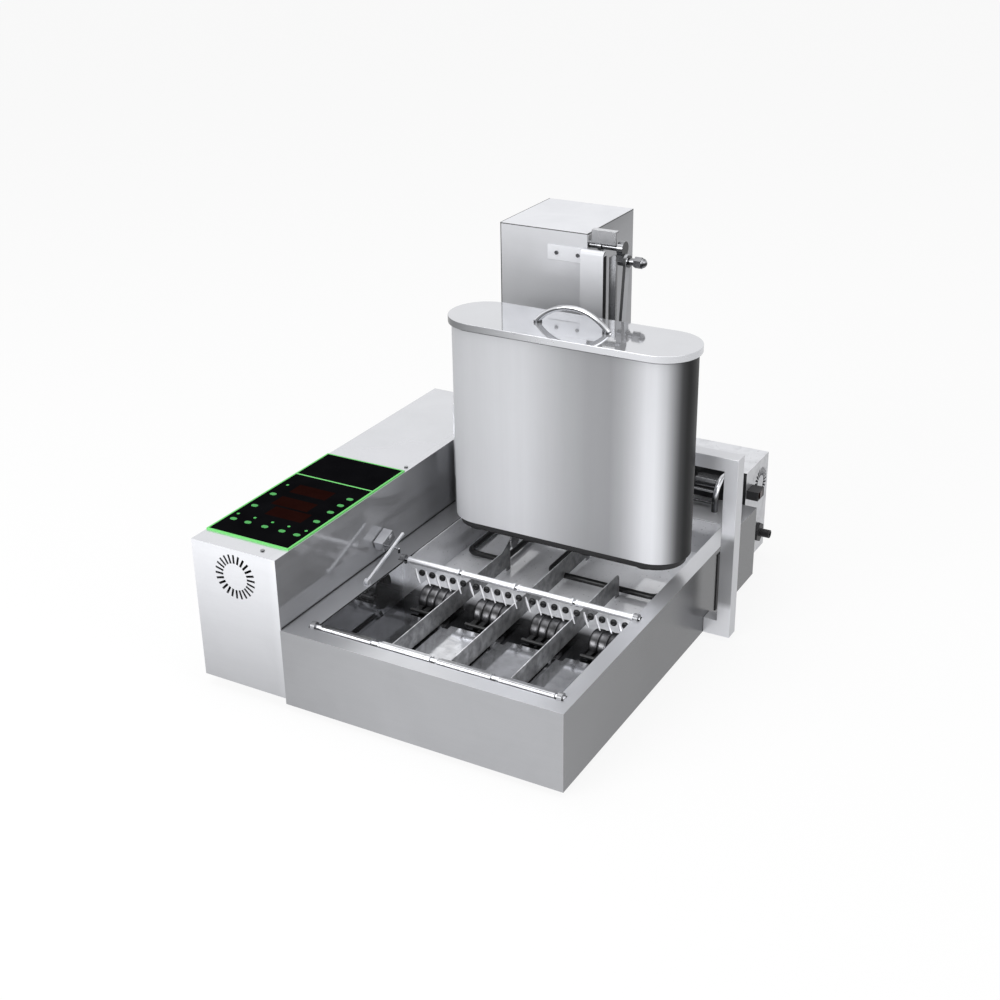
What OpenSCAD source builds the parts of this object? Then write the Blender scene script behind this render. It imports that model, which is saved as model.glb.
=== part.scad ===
// Automatic mini donut machine: four-lane fryer, dough hopper on a gate,
// dosing drive in a tower, turner and discharge flippers, control box.
// Origin: centre of the footprint, on the surface that the feet stand on.
// X to the right, Y to the back, Z up, millimetres.

/* [Frying tank] */
// Outside width of the tank casing
tank_w = 386; // [370:1:420]
// Outside depth of the tank casing
tank_d = 590; // [585:1:640]
// Height of the tank casing without its feet
tank_h = 105; // [100:1:120]
// Height of the rubber feet
feet_h = 8; // [4:0.5:14]
// Diameter of a rubber foot
foot_dia = 24; // [14:1:34]
// Thickness of the casing sheets
sheet = 1.5; // [1:0.1:2]
// Width of the left rim
rim_left = 34; // [32:0.5:40]
// Width of the right rim
rim_right = 21; // [18:0.5:26]
// Width of the front rim
rim_front = 23; // [19:0.5:23]
// Width of the rear rim
rim_rear = 71; // [66:0.5:80]
// Depth of the oil pan below the rim
pan_depth = 52.7; // [50:0.1:58]
// Thickness of the oil pan's sheet
pan_sheet = 1.2; // [0.8:0.1:1.5]
// Distance from one lane to the next
lane_pitch = 82.2; // [80:0.1:83]
// Thickness of a lane divider
divider_t = 1.5; // [1:0.1:2]
// Height of a lane divider
divider_h = 28; // [20:0.5:32]

/* [Turner] */
// Distance of the turner shaft behind the tank's front face
turner_y = 229; // [226:0.5:240]
// Diameter of the turner shaft
turner_dia = 6; // [4:0.2:7]
// Outside diameter of the bright tubes on the shaft
turner_tube_dia = 8; // [7.4:0.2:10]
// Forward reach of a turner comb
comb_reach = 41; // [34:0.5:42]
// Drop of a turner comb below its shaft
comb_drop = 42; // [36:0.5:44]
// Number of ribs in a comb
comb_ribs = 5; // [3:1:6]
// Width of one rib
rib_w = 10; // [6:0.5:11]
// Thickness of one rib
rib_t = 1.6; // [1:0.1:2]

/* [Discharge flipper] */
// Distance of the discharge rod behind the tank's front face
discharge_y = 28.7; // [28.3:0.1:33]
// Diameter of the discharge rod
discharge_dia = 5; // [4:0.2:6]
// Length of a discharge plate
discharge_len = 141; // [90:0.5:141.5]
// Thickness of a discharge plate
discharge_t = 1.5; // [1:0.1:2]

/* [Control box] */
// Width of the control box
box_w = 127; // [120:1:150]
// Depth of the control box
box_d = 568; // [540:1:585]
// Height of the control box
box_h = 192.7; // [185:0.1:220]
// Height of the control box's underside above the tank's underside
box_lift = 6.8; // [2:0.1:12]
// Outer radius of the front vent ring
vent_r = 30; // [24:0.5:34]
// Number of slots in a vent ring
vent_slots = 24; // [16:1:28]
// Length of the control panel
panel_d = 259; // [240:1:280]
// Width of the control panel
panel_w = 125; // [110:0.5:126]
// Thickness of the control panel
panel_t = 2; // [1.5:0.1:3]
// Travel of a panel key
key_travel = 0.4; // [0.2:0.05:0.6]

/* [Rear box] */
// Width of the rear box
rear_w = 368.6; // [340:1:380]
// Depth of the rear box
rear_d = 86.2; // [80:0.1:100]
// Height of the rear box
rear_h = 146.5; // [140:0.5:160]

/* [Gate] */
// Reach of the gate beyond the tank's right side
gate_reach = 37.4; // [34:0.1:44]
// Distance of the gate behind the tank's front face
gate_y = 405.3; // [402:0.1:420]
// Depth of the gate's channel
gate_d = 20.7; // [16:0.1:26]
// Height of the gate above the tank's underside
gate_h = 256.9; // [250:0.1:275]
// Width of the gate's legs and top bar
gate_bar = 18.8; // [16:0.1:20]

/* [Hopper] */
// Length of the dough hopper
hopper_w = 335.6; // [325:0.1:345]
// Width of the dough hopper across its round ends
hopper_d = 89.2; // [84:0.1:92]
// Height of the hopper's body
hopper_h = 278; // [240:0.5:300]
// Height of the hopper's underside above the tank's underside
hopper_lift = 135.6; // [134:0.1:142]
// Space between the hopper and the gate
hopper_gap = 6.5; // [5:0.1:12]
// Height of the lid's lip
lip_h = 9.3; // [6:0.1:14]
// Overhang of the lid all round the hopper
lid_over = 4.5; // [3:0.1:7]
// Distance between the feet of the lid's handle
handle_span = 96; // [80:1:120]
// Diameter of the handle's rod
handle_dia = 7; // [5:0.5:9]

/* [Dosing drive] */
// Width of the drive tower
tower_w = 130.2; // [120:0.1:140]
// Depth of the drive tower
tower_d = 141.5; // [120:0.5:150]
// Height of the drive tower's top above the tank's underside
tower_top = 497.6; // [480:0.1:540]
// Distance of the tower behind the gate
tower_back = 55.6; // [54:0.1:64]
// Radius of the crank
crank_r = 15.6; // [12:0.1:17]
// Diameter of the crank shaft
crank_dia = 8; // [6:0.2:9]
// Distance from the tower's right side to the hub of the crank
crank_out = 43; // [41:0.5:48]
// Outside diameter of a dough spout
spout_dia = 36; // [30:0.5:38]

/* [Hidden] */
$fn = 48;
// Overrun of every cut
over = 1;
// Running clearance between parts that move past each other
clear = 0.3;
// Radial clearance of a pin or a shaft in its bore
fit = 0.06;

// Places of the main pieces
left_x = -(box_w + tank_w + gate_reach) / 2;
tank_x0 = left_x + box_w;
tank_x1 = tank_x0 + tank_w;
front_y = -(tank_d + rear_d) / 2;
tank_y1 = front_y + tank_d;
rim_z = feet_h + tank_h;
pan_x0 = tank_x0 + rim_left;
pan_x1 = tank_x1 - rim_right;
pan_y0 = front_y + rim_front;
pan_y1 = tank_y1 - rim_rear;
floor_z = rim_z - pan_depth;
lanes_x = (pan_x0 + pan_x1) / 2;
lane_side = 2.4;
function divider_x(i) = lanes_x + lane_side + (i - 1) * lane_pitch;
function lane_x(i) = lanes_x + lane_side + (i - 1.5) * lane_pitch;

// Steel, brushed and mirror finishes, and the dark pieces
steel = [0.78, 0.79, 0.81];
mirror_steel = [0.86, 0.87, 0.89];
dark_steel = [0.3, 0.3, 0.32];
black = [0.06, 0.06, 0.07];

// A box between two corners
module block(a, b) {
    translate(a) cube([b[0] - a[0], b[1] - a[1], b[2] - a[2]]);
}

// A cylinder along X from x0 to x1
module rod_x(x0, x1, y, z, r) {
    translate([x0, y, z]) rotate([0, 90, 0]) cylinder(h = x1 - x0, r = r);
}

// A cylinder along Y from y0 to y1
module rod_y(x, y0, y1, z, r) {
    translate([x, y0, z]) rotate([-90, 0, 0]) cylinder(h = y1 - y0, r = r);
}

// An outline in Y and Z, thickened along X from x0 to x1
module plate_x(x0, x1) {
    translate([x0, 0, 0]) rotate([90, 0, 90]) linear_extrude(x1 - x0) children();
}

// A slot outline with round ends along X
module stadium(w, d) {
    square([w - d, d], center = true);
    for (x = [-1, 1]) {
        translate([x * (w - d) / 2, 0]) circle(d / 2, $fn = 96);
    }
}

// A ring of radial slots, for cutting a vent
module vent_ring(r_out, slot_len, slot_w, depth) {
    for (i = [0:vent_slots - 1]) {
        rotate([0, 0, i * 360 / vent_slots])
            translate([r_out - slot_len, -slot_w / 2, -depth / 2]) cube([slot_len, slot_w, depth]);
    }
}

/* Frying tank */
rim_chamfer = 1.6;
bush_dia = 12;
bush_len = 6;
shaft_end = 2;
turner_z = rim_z;
turner_py = front_y + turner_y;
discharge_z = rim_z;
discharge_py = front_y + discharge_y;

module bush_seats(extra) {
    for (y = [turner_py, discharge_py]) {
        for (x = [pan_x0 - bush_len, pan_x1]) {
            rod_x(x - extra, x + bush_len + extra, y, rim_z, bush_dia / 2 + fit);
        }
    }
}

module tank_shell() {
    color(steel) difference() {
        block([tank_x0, front_y, feet_h], [tank_x1, tank_y1, rim_z]);
        block([tank_x0 + sheet, front_y + sheet, feet_h + sheet],
            [tank_x1 - sheet, tank_y1 - sheet, rim_z - sheet]);
        block([pan_x0, pan_y0, rim_z - sheet - over], [pan_x1, pan_y1, rim_z + over]);
        translate([tank_x0, front_y - over, rim_z]) rotate([0, 45, 0])
            translate([-rim_chamfer / 2, 0, -rim_chamfer / 2])
            cube([rim_chamfer, tank_d + 2 * over, rim_chamfer]);
        bush_seats(shaft_end + clear);
    }
}

pan_flange = 12;
module oil_pan() {
    color(mirror_steel) difference() {
        union() {
            block([pan_x0, pan_y0, floor_z - pan_sheet], [pan_x1, pan_y1, rim_z - sheet]);
            block([pan_x0 - pan_flange, pan_y0 - pan_flange, rim_z - sheet - pan_sheet],
                [pan_x1 + pan_flange, pan_y1 + pan_flange, rim_z - sheet]);
        }
        block([pan_x0 + pan_sheet, pan_y0 + pan_sheet, floor_z],
            [pan_x1 - pan_sheet, pan_y1 - pan_sheet, rim_z + over]);
        bush_seats(shaft_end + clear);
        for (x = heater_xs) {
            rod_y(x, pan_y1 - pan_sheet - over, pan_y1 + over, heater_z, heater_dia / 2 + fit);
        }
    }
}

foot_inset = 32;
module rubber_feet() {
    color(black) for (x = [tank_x0 + foot_inset, tank_x1 - foot_inset]) {
        for (y = [front_y + foot_inset, (front_y + tank_y1) / 2, tank_y1 - foot_inset]) {
            translate([x, y, 0]) cylinder(h = feet_h, d = foot_dia);
        }
    }
}

// Lane dividers stand on small feet, a little above the floor of the pan
divider_lift = 5.8;
divider_front = 6;
divider_len = 328;
long_divider_len = 406.5;
divider_corner = 9;
divider_foot = 10;
module divider(x, length) {
    y0 = pan_y0 + divider_front;
    z0 = floor_z + divider_lift;
    z1 = z0 + divider_h;
    plate_x(x - divider_t / 2, x + divider_t / 2) {
        translate([y0, z0]) square([length - divider_corner, divider_h]);
        translate([y0, z0]) square([length, divider_h - divider_corner]);
        translate([y0 + length - divider_corner, z1 - divider_corner]) circle(divider_corner);
        for (y = [y0, y0 + length - divider_foot]) {
            translate([y, floor_z]) square([divider_foot, divider_lift + over]);
        }
    }
}

// The left divider carries the stud of the star wheel on a raised arm at its rear end
wheel_r = 13;
wheel_t = 2;
wheel_hub_r = 3.4;
wheel_rise = 9.6;
wheel_back = 7;
wheel_z = floor_z + divider_lift + divider_h + wheel_rise;
wheel_py = pan_y0 + divider_front + divider_len + wheel_back;
stud_r = 2;
arm_root = 26;
arm_foot = 12;
arm_eye_r = 6;
stud_head = 1.2;
wheel_side = 2.2;
wheel_x = divider_x(0) + divider_t / 2 + wheel_side;
head_x = wheel_x + wheel_t + clear;
module left_divider() {
    x = divider_x(0);
    y1 = pan_y0 + divider_front + divider_len;
    z1 = floor_z + divider_lift + divider_h;
    color(steel) union() {
        divider(x, divider_len);
        plate_x(x - divider_t / 2, x + divider_t / 2) {
            translate([wheel_py, wheel_z]) circle(arm_eye_r);
            polygon([[y1 - arm_root, z1 - divider_t], [y1 - divider_corner, z1 - arm_foot],
                [wheel_py + arm_eye_r / 2, wheel_z - arm_eye_r / 2],
                [wheel_py - arm_eye_r / 2, wheel_z + arm_eye_r / 2]]);
        }
        rod_x(x, head_x + stud_head, wheel_py, wheel_z, stud_r);
        rod_x(head_x, head_x + stud_head, wheel_py, wheel_z, wheel_hub_r);
        rod_x(x, wheel_x - clear, wheel_py, wheel_z, wheel_hub_r);
    }
}

module plain_dividers() {
    x = divider_x(1);
    color(steel) {
        difference() {
            divider(x, long_divider_len);
            rod_x(x - divider_t, x + divider_t, heater_front, heater_z, heater_dia / 2 + clear);
        }
        divider(divider_x(2), divider_len);
    }
}

// Saw-toothed wheel that runs on the left divider's stud
wheel_teeth = 22;
tooth_h = 1.8;
module star_wheel() {
    color(steel) difference() {
        plate_x(wheel_x, wheel_x + wheel_t) translate([wheel_py, wheel_z])
            polygon([for (i = [0:2 * wheel_teeth - 1])
                let (r = wheel_r - (i % 2) * tooth_h, a = i * 180 / wheel_teeth) [r * cos(a), r * sin(a)]]);
        rod_x(wheel_x - over, wheel_x + wheel_t + over, wheel_py, wheel_z, stud_r + fit);
    }
}

// Tube heaters: one loop on each side, through the pan's rear wall
heater_dia = 8;
heater_lift = 3.2;
heater_z = floor_z + heater_dia / 2 + heater_lift;
heater_bend = 14;
heater_room = 1;
heater_front = pan_y0 + divider_front + divider_len + heater_dia / 2 + heater_room;
heater_side = 16;
heater_tail = 22;
heater_near = 13.5;
heater_inner = 26;
heater_far = 26;
heater_xs = [pan_x0 + heater_side, divider_x(0) - heater_near,
    divider_x(1) - heater_inner, pan_x1 - heater_far];
heater_nut_r = 8;
heater_nut_t = 5;
heater_collar_r = 5;
module heater(x0, x1) {
    r = heater_dia / 2;
    y1 = pan_y1 + heater_tail;
    rod_x(x0 + heater_bend, x1 - heater_bend, heater_front, heater_z, r);
    for (x = [x0, x1]) {
        rod_y(x, heater_front + heater_bend, y1, heater_z, r);
        rod_y(x, pan_y1 + clear, pan_y1 + heater_nut_t, heater_z, heater_nut_r);
        rod_y(x, pan_y1 - pan_sheet - heater_nut_t, pan_y1 - pan_sheet - clear, heater_z, heater_collar_r);
    }
    translate([x0 + heater_bend, heater_front + heater_bend, heater_z]) rotate([0, 0, 180])
        rotate_extrude(angle = 90) translate([heater_bend, 0]) circle(r);
    translate([x1 - heater_bend, heater_front + heater_bend, heater_z]) rotate([0, 0, 270])
        rotate_extrude(angle = 90) translate([heater_bend, 0]) circle(r);
}
module heater_tubes() {
    color(dark_steel) {
        heater(heater_xs[0], heater_xs[1]);
        heater(heater_xs[2], heater_xs[3]);
    }
}

/* Turner */
module turner_shaft() {
    color(mirror_steel) rod_x(pan_x0 - bush_len - shaft_end, pan_x1 + bush_len + shaft_end,
        turner_py, turner_z, turner_dia / 2);
}

tube_side = 2.2;
collar_dia = 10;
collar_len = 2.5;
module turner_tubes() {
    color(mirror_steel) for (i = [0:3]) {
        x0 = lane_x(i) - lane_pitch / 2 + tube_side;
        x1 = lane_x(i) + lane_pitch / 2 - tube_side;
        difference() {
            union() {
                rod_x(x0, x1, turner_py, turner_z, turner_tube_dia / 2);
                rod_x(x0, x0 + collar_len, turner_py, turner_z, collar_dia / 2);
                rod_x(x1 - collar_len, x1, turner_py, turner_z, collar_dia / 2);
            }
            rod_x(x0 - over, x1 + over, turner_py, turner_z, turner_dia / 2);
        }
    }
}

// One rib in Y and Z about the shaft: down, forward, and down again
shelf_share = 0.5;
rib_bend = 7;
shelf_z = comb_drop * shelf_share;
bar_dia = 5;
module bend_ring(y, z, a) {
    translate([y, z]) intersection() {
        difference() {
            circle(rib_bend);
            circle(rib_bend - rib_t);
        }
        rotate([0, 0, a]) square(rib_bend + over);
    }
}

module rib_outline() {
    top = turner_tube_dia / 2 - rib_t / 2;
    shelf_y0 = comb_reach - rib_bend;
    translate([-rib_t, -shelf_z + rib_bend]) square([rib_t, shelf_z - rib_bend - top]);
    bend_ring(-rib_bend, -shelf_z + rib_bend, 270);
    translate([-shelf_y0, -shelf_z]) square([shelf_y0 - rib_bend, rib_t]);
    bend_ring(-shelf_y0, -shelf_z - rib_bend + rib_t, 90);
    translate([-shelf_y0 - rib_bend, -comb_drop]) square([rib_t, comb_drop - shelf_z - rib_bend + rib_t]);
}

comb_side = tube_side + collar_len + clear;
module turner_combs() {
    color(dark_steel) for (i = [0:3]) {
        x0 = lane_x(i) - lane_pitch / 2 + comb_side;
        x1 = lane_x(i) + lane_pitch / 2 - comb_side;
        step = (x1 - x0 - rib_w) / (comb_ribs - 1);
        difference() {
            union() {
                for (k = [0:comb_ribs - 1]) {
                    plate_x(x0 + k * step, x0 + k * step + rib_w)
                        translate([turner_py, turner_z]) rib_outline();
                }
                rod_x(x0, x1, turner_py - comb_reach, turner_z - comb_drop, bar_dia / 2);
            }
            rod_x(x0 - over, x1 + over, turner_py, turner_z, turner_tube_dia / 2);
        }
    }
}

// Bearing bushes of both shafts, in the rims
module shaft_bushes() {
    color(dark_steel) for (s = [[turner_py, turner_dia], [discharge_py, discharge_dia]]) {
        for (x = [pan_x0 - bush_len, pan_x1]) {
            difference() {
                rod_x(x, x + bush_len, s[0], rim_z, bush_dia / 2);
                rod_x(x - over, x + bush_len + over, s[0], rim_z, s[1] / 2 + fit);
            }
        }
    }
}

/* Crank and trip lever beside the control box */
tilt = 20;
trip_front = 4;
trip_rise = 29;
trip_py = turner_py - trip_front;
trip_z = rim_z + trip_rise;
trip_r = 15;
block_w = 14;
block_len = 27;
block_t = 14;
block_side = 1.5;
trip_shaft_dia = 8;
boss_dia = 10;
boss_t = 1.5;
block_x0 = tank_x0 + block_side;
pin_dia = 3;
pin_reach = 21;
pin_py = trip_py - trip_r * cos(tilt);
pin_z = trip_z - trip_r * sin(tilt);
module crank_block() {
    color(mirror_steel) difference() {
        union() {
            translate([block_x0, trip_py, trip_z]) rotate([tilt, 0, 0])
                translate([0, -block_len + block_t / 2, -block_t / 2]) cube([block_w, block_len, block_t]);
            rod_x(block_x0 + block_w, block_x0 + block_w + boss_t, trip_py, trip_z, boss_dia / 2);
        }
        rod_x(block_x0 - over, block_x0 + block_w - boss_t, trip_py, trip_z, trip_shaft_dia / 2);
        rod_x(block_x0 + block_w / 2, block_x0 + block_w + over, pin_py, pin_z, pin_dia / 2);
    }
}

// Motor shaft of the crank block, and the bent pin that lifts the lever
tip_len = 6;
shaft_depth = 14;
module crank_pins() {
    x0 = block_x0 + block_w / 2;
    x1 = block_x0 + block_w + pin_reach;
    color(mirror_steel) {
        rod_x(tank_x0 - sheet - shaft_depth, block_x0 + block_w - boss_t,
            trip_py, trip_z, trip_shaft_dia / 2);
        union() {
            rod_x(x0, x1, pin_py, pin_z, pin_dia / 2);
            translate([x1, pin_py, pin_z]) sphere(pin_dia / 2);
            translate([x1, pin_py, pin_z - tip_len]) cylinder(h = tip_len, r = pin_dia / 2);
        }
    }
}

// The lever lies across the bent pin and turns on a stud on the rim
lever_w = 3.4;
lever_t = 3;
lever_len = 92;
lever_side = 4.6;
lever_back = 79;
lever_rise = 4.6;
lever_x = pan_x0 - lever_side;
lever_py = trip_py - lever_back;
lever_z = rim_z + lever_rise;
lever_eye_r = 3.2;
lever_pin_r = 1.3;
lever_angle = asin((pin_dia / 2 + lever_t / 2 + clear)
    / norm([pin_py - lever_py, pin_z - lever_z])) + atan2(pin_z - lever_z, pin_py - lever_py);
module trip_lever() {
    color(mirror_steel) difference() {
        union() {
            translate([lever_x - lever_w / 2, lever_py, lever_z]) rotate([lever_angle, 0, 0])
                translate([0, 0, -lever_t / 2]) cube([lever_w, lever_len, lever_t]);
            rod_x(lever_x - lever_w / 2, lever_x + lever_w / 2, lever_py, lever_z, lever_eye_r);
        }
        rod_x(lever_x - lever_w, lever_x + lever_w, lever_py, lever_z, lever_pin_r + fit);
    }
}

ear_t = 1;
ear_r = 4;
module lever_pivot() {
    color(dark_steel) union() {
        for (x = [lever_x - lever_w / 2 - clear - ear_t, lever_x + lever_w / 2 + clear]) {
            plate_x(x, x + ear_t) {
                translate([lever_py, lever_z]) circle(ear_r);
                translate([lever_py - ear_r, rim_z]) square([2 * ear_r, lever_z - rim_z]);
            }
        }
        rod_x(lever_x - lever_w / 2 - clear - ear_t, lever_x + lever_w / 2 + clear + ear_t,
            lever_py, lever_z, lever_pin_r);
        block([lever_x - lever_w / 2 - clear - ear_t, lever_py - ear_r, rim_z],
            [lever_x + lever_w / 2 + clear + ear_t, lever_py + ear_r, rim_z + ear_t]);
    }
}

/* Discharge flipper */
module discharge_rod() {
    color(mirror_steel) rod_x(pan_x0 - bush_len - shaft_end, pan_x1 + bush_len + shaft_end,
        discharge_py, discharge_z, discharge_dia / 2);
}

plate_side = 5;
plate_lift = 3.6;
hub_dia = 8.4;
plate_front = 7;
notch = 9;
module discharge_plates() {
    color(steel) for (i = [0:3]) {
        x0 = lane_x(i) - lane_pitch / 2 + plate_side;
        x1 = lane_x(i) + lane_pitch / 2 - plate_side;
        y0 = discharge_py + plate_front;
        z0 = floor_z + plate_lift;
        difference() {
            union() {
                block([x0, y0, z0], [x1, y0 + discharge_len, z0 + discharge_t]);
                block([x0, y0, z0], [x1, y0 + discharge_t, discharge_z]);
                block([x0, discharge_py, discharge_z - discharge_t / 2],
                    [x1, y0 + discharge_t, discharge_z + discharge_t / 2]);
                rod_x(x0, x1, discharge_py, discharge_z, hub_dia / 2);
            }
            rod_x(x0 - over, x1 + over, discharge_py, discharge_z, discharge_dia / 2);
            for (x = [x0, x1 - notch]) {
                block([x, y0 + discharge_len - notch, z0 - over],
                    [x + notch, y0 + discharge_len + over, z0 + discharge_t + over]);
            }
        }
    }
}

/* Control box */
box_z0 = feet_h + box_lift;
box_z1 = box_z0 + box_h;
box_back = 1.4;
box_y0 = front_y + box_back;
box_y1 = box_y0 + box_d;
vent_x_share = 0.503;
vent_z_share = 0.805;
vent_x = left_x + box_w * vent_x_share;
vent_z = box_z0 + box_h * vent_z_share;
slot_len = 12;
slot_w = 3;
module control_box_cover() {
    color(steel) difference() {
        block([left_x, box_y0, box_z0], [tank_x0, box_y1, box_z1]);
        block([left_x + sheet, box_y0 + sheet, box_z0 - over],
            [tank_x0 - sheet, box_y1 - sheet, box_z1 - sheet]);
        translate([vent_x, box_y0, vent_z]) rotate([90, 0, 0]) vent_ring(vent_r, slot_len, slot_w, 4 * sheet);
        rod_x(tank_x0 - sheet - over, tank_x0 + over, trip_py, trip_z, trip_shaft_dia / 2 + clear);
    }
}

// Folded bottom trays of the control box and the rear box
base_flange = 14;
module base_tray(x0, x1, y0, y1) {
    difference() {
        block([x0 + sheet, y0 + sheet, box_z0], [x1 - sheet, y1 - sheet, box_z0 + base_flange]);
        block([x0 + 2 * sheet, y0 + 2 * sheet, box_z0 + sheet],
            [x1 - 2 * sheet, y1 - 2 * sheet, box_z0 + base_flange + over]);
    }
}

module box_bases() {
    color(steel) {
        base_tray(left_x, tank_x0, box_y0, box_y1);
        base_tray(tank_x0, rear_x1, tank_y1, rear_y1);
    }
}

// Places on the panel as shares of its width and depth, from its front left corner
panel_front = 28.7;
panel_side = 0.8;
panel_x0 = left_x + panel_side;
panel_y0 = box_y0 + panel_front;
key_w = 9.4;
key_d = 6.6;
key_h = 1.2;
key_gap = 0.2;
key_proud = 0.3;
key_shares = [
    [0.11, 0.455], [0.11, 0.305], [0.11, 0.14], [0.29, 0.14], [0.50, 0.14], [0.71, 0.14],
    [0.89, 0.14], [0.89, 0.58], [0.89, 0.50], [0.89, 0.415], [0.89, 0.30]
];
led_shares = [[0.11, 0.575], [0.08, 0.195], [0.29, 0.195], [0.51, 0.195], [0.71, 0.195], [0.92, 0.195]];
window_shares = [[0.45, 0.56], [0.45, 0.41], [0.54, 0.30]];
window_w = 56;
window_d = 25;
led_dia = 4;
led_proud = 0.2;
led_h = 1.4;
function on_panel(s) = [panel_x0 + s[0] * panel_w, panel_y0 + s[1] * panel_d];
module control_panel() {
    color(black) difference() {
        block([panel_x0, panel_y0, box_z1], [panel_x0 + panel_w, panel_y0 + panel_d, box_z1 + panel_t]);
        for (s = key_shares) {
            p = on_panel(s);
            translate([p[0], p[1], box_z1 - over]) linear_extrude(panel_t + 2 * over)
                stadium(key_w + 2 * key_gap, key_d + 2 * key_gap);
        }
        for (s = led_shares) {
            p = on_panel(s);
            translate([p[0], p[1], box_z1 + panel_t - led_h])
                cylinder(h = led_h + over, r = led_dia / 2 + fit);
        }
        for (s = window_shares) {
            p = on_panel(s);
            block([p[0] - window_w / 2, p[1] - window_d / 2, box_z1 + panel_t - window_t],
                [p[0] + window_w / 2, p[1] + window_d / 2, box_z1 + panel_t + over]);
        }
    }
}
window_t = 1;

module display_windows() {
    color([0.2, 0.02, 0.03]) for (s = window_shares) {
        p = on_panel(s);
        block([p[0] - window_w / 2 + fit, p[1] - window_d / 2 + fit, box_z1 + panel_t - window_t],
            [p[0] + window_w / 2 - fit, p[1] + window_d / 2 - fit, box_z1 + panel_t]);
    }
}

module panel_key(i) {
    p = on_panel(key_shares[i - 1]);
    color([0.16, 0.62, 0.32]) translate([p[0], p[1], box_z1 + panel_t + key_proud - key_h])
        linear_extrude(key_h) stadium(key_w, key_d);
}

module indicator_leds() {
    color([0.7, 0.7, 0.72]) for (s = led_shares) {
        p = on_panel(s);
        translate([p[0], p[1], box_z1 + panel_t - led_h]) cylinder(h = led_h + led_proud, r = led_dia / 2);
    }
}

// Board under the panel, on four posts from the cover
board_t = 1.6;
board_w_share = 0.78;
board_d_share = 0.8;
board_drop = 22;
post_r = 3;
module circuit_board() {
    w = panel_w * board_w_share;
    d = panel_d * board_d_share;
    x0 = panel_x0 + (panel_w - w) / 2;
    y0 = panel_y0 + (panel_d - d) / 2;
    z0 = box_z1 - sheet - board_drop;
    chip = 18;
    chip_h = 9;
    color([0.1, 0.4, 0.2]) union() {
        block([x0, y0, z0], [x0 + w, y0 + d, z0 + board_t]);
        for (x = [x0 + 2 * post_r, x0 + w - 2 * post_r]) {
            for (y = [y0 + 2 * post_r, y0 + d - 2 * post_r]) {
                translate([x, y, z0]) cylinder(h = board_drop, r = post_r);
            }
        }
        for (k = [0:2]) {
            block([x0 + w / 2 - chip / 2, y0 + d / 4 * (k + 1) - chip / 2, z0 - chip_h],
                [x0 + w / 2 + chip / 2, y0 + d / 4 * (k + 1) + chip / 2, z0 + board_t]);
        }
    }
}

// Gear motor of the turner drive, on the box's right wall
motor_w = 56;
motor_h = 64;
gear_len = 34;
motor_len = 48;
motor_r = 22;
module turner_motor() {
    x1 = tank_x0 - sheet;
    color(dark_steel) union() {
        difference() {
            block([x1 - gear_len, trip_py - motor_w / 2, trip_z - motor_h / 2],
                [x1, trip_py + motor_w / 2, trip_z + motor_h / 2]);
            rod_x(x1 - gear_len / 2, x1 + over, trip_py, trip_z, trip_shaft_dia / 2 + fit);
        }
        rod_x(x1 - gear_len - motor_len, x1 - gear_len, trip_py, trip_z, motor_r);
    }
}

/* Fans behind the two vent rings */
fan_r_share = 0.9;
fan_hub_r = 9;
fan_t = 10;
fan_blades = 7;
blade_t = 1.2;
blade_pitch = 35;
fan_frame_side = 4;
fan_frame_t = 16;
fan_axle_r = 2;
fan_axle_len = 8;
module fan_wheel(r) {
    difference() {
        union() {
            cylinder(h = fan_t, r = fan_hub_r, center = true);
            for (i = [0:fan_blades - 1]) {
                rotate([0, 0, i * 360 / fan_blades]) translate([(r + fan_hub_r / 2) / 2, 0, 0])
                    rotate([blade_pitch, 0, 0]) cube([r - fan_hub_r / 2, fan_t, blade_t], center = true);
            }
        }
        translate([0, 0, -fan_t / 2 - over]) cylinder(h = fan_axle_len + over + clear, r = fan_axle_r + fit);
    }
}

// Square frame with three arms and an axle on its back
module fan_frame(r) {
    side = 2 * (r + fan_frame_side);
    arm_w = 5;
    arm_t = 2;
    difference() {
        translate([-side / 2, -side / 2, -fan_frame_t / 2]) cube([side, side, fan_frame_t]);
        translate([0, 0, -fan_frame_t / 2 - over]) cylinder(h = fan_frame_t + 2 * over, r = r + clear * 4);
    }
    for (a = [0, 90]) {
        rotate([0, 0, a]) translate([-side / 2, -arm_w / 2, -fan_frame_t / 2]) cube([side, arm_w, arm_t]);
    }
    translate([0, 0, -fan_frame_t / 2])
        cylinder(h = (fan_frame_t - fan_t) / 2 + fan_axle_len, r = fan_axle_r);
}

rear_x1 = tank_x0 + rear_w;
rear_vent_r = 23.5;
rear_vent_y_share = 0.674;
rear_vent_z_share = 0.742;
rear_vent_y = tank_y1 + rear_d * rear_vent_y_share;
rear_vent_z = box_z0 + rear_h * rear_vent_z_share;
control_fan_r = vent_r * fan_r_share;
rear_fan_r = rear_vent_r * fan_r_share;
module at_control_fan() {
    translate([vent_x, box_y0 + sheet + fan_frame_t / 2, vent_z]) rotate([90, 0, 0]) children();
}

module at_rear_fan() {
    translate([rear_x1 - sheet - fan_frame_t / 2, rear_vent_y, rear_vent_z]) rotate([0, 90, 0]) children();
}

module fan_frames() {
    color(black) {
        at_control_fan() fan_frame(control_fan_r);
        at_rear_fan() fan_frame(rear_fan_r);
    }
}

module control_fan() {
    color(dark_steel) at_control_fan() fan_wheel(control_fan_r);
}

module rear_fan() {
    color(dark_steel) at_rear_fan() fan_wheel(rear_fan_r);
}

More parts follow.
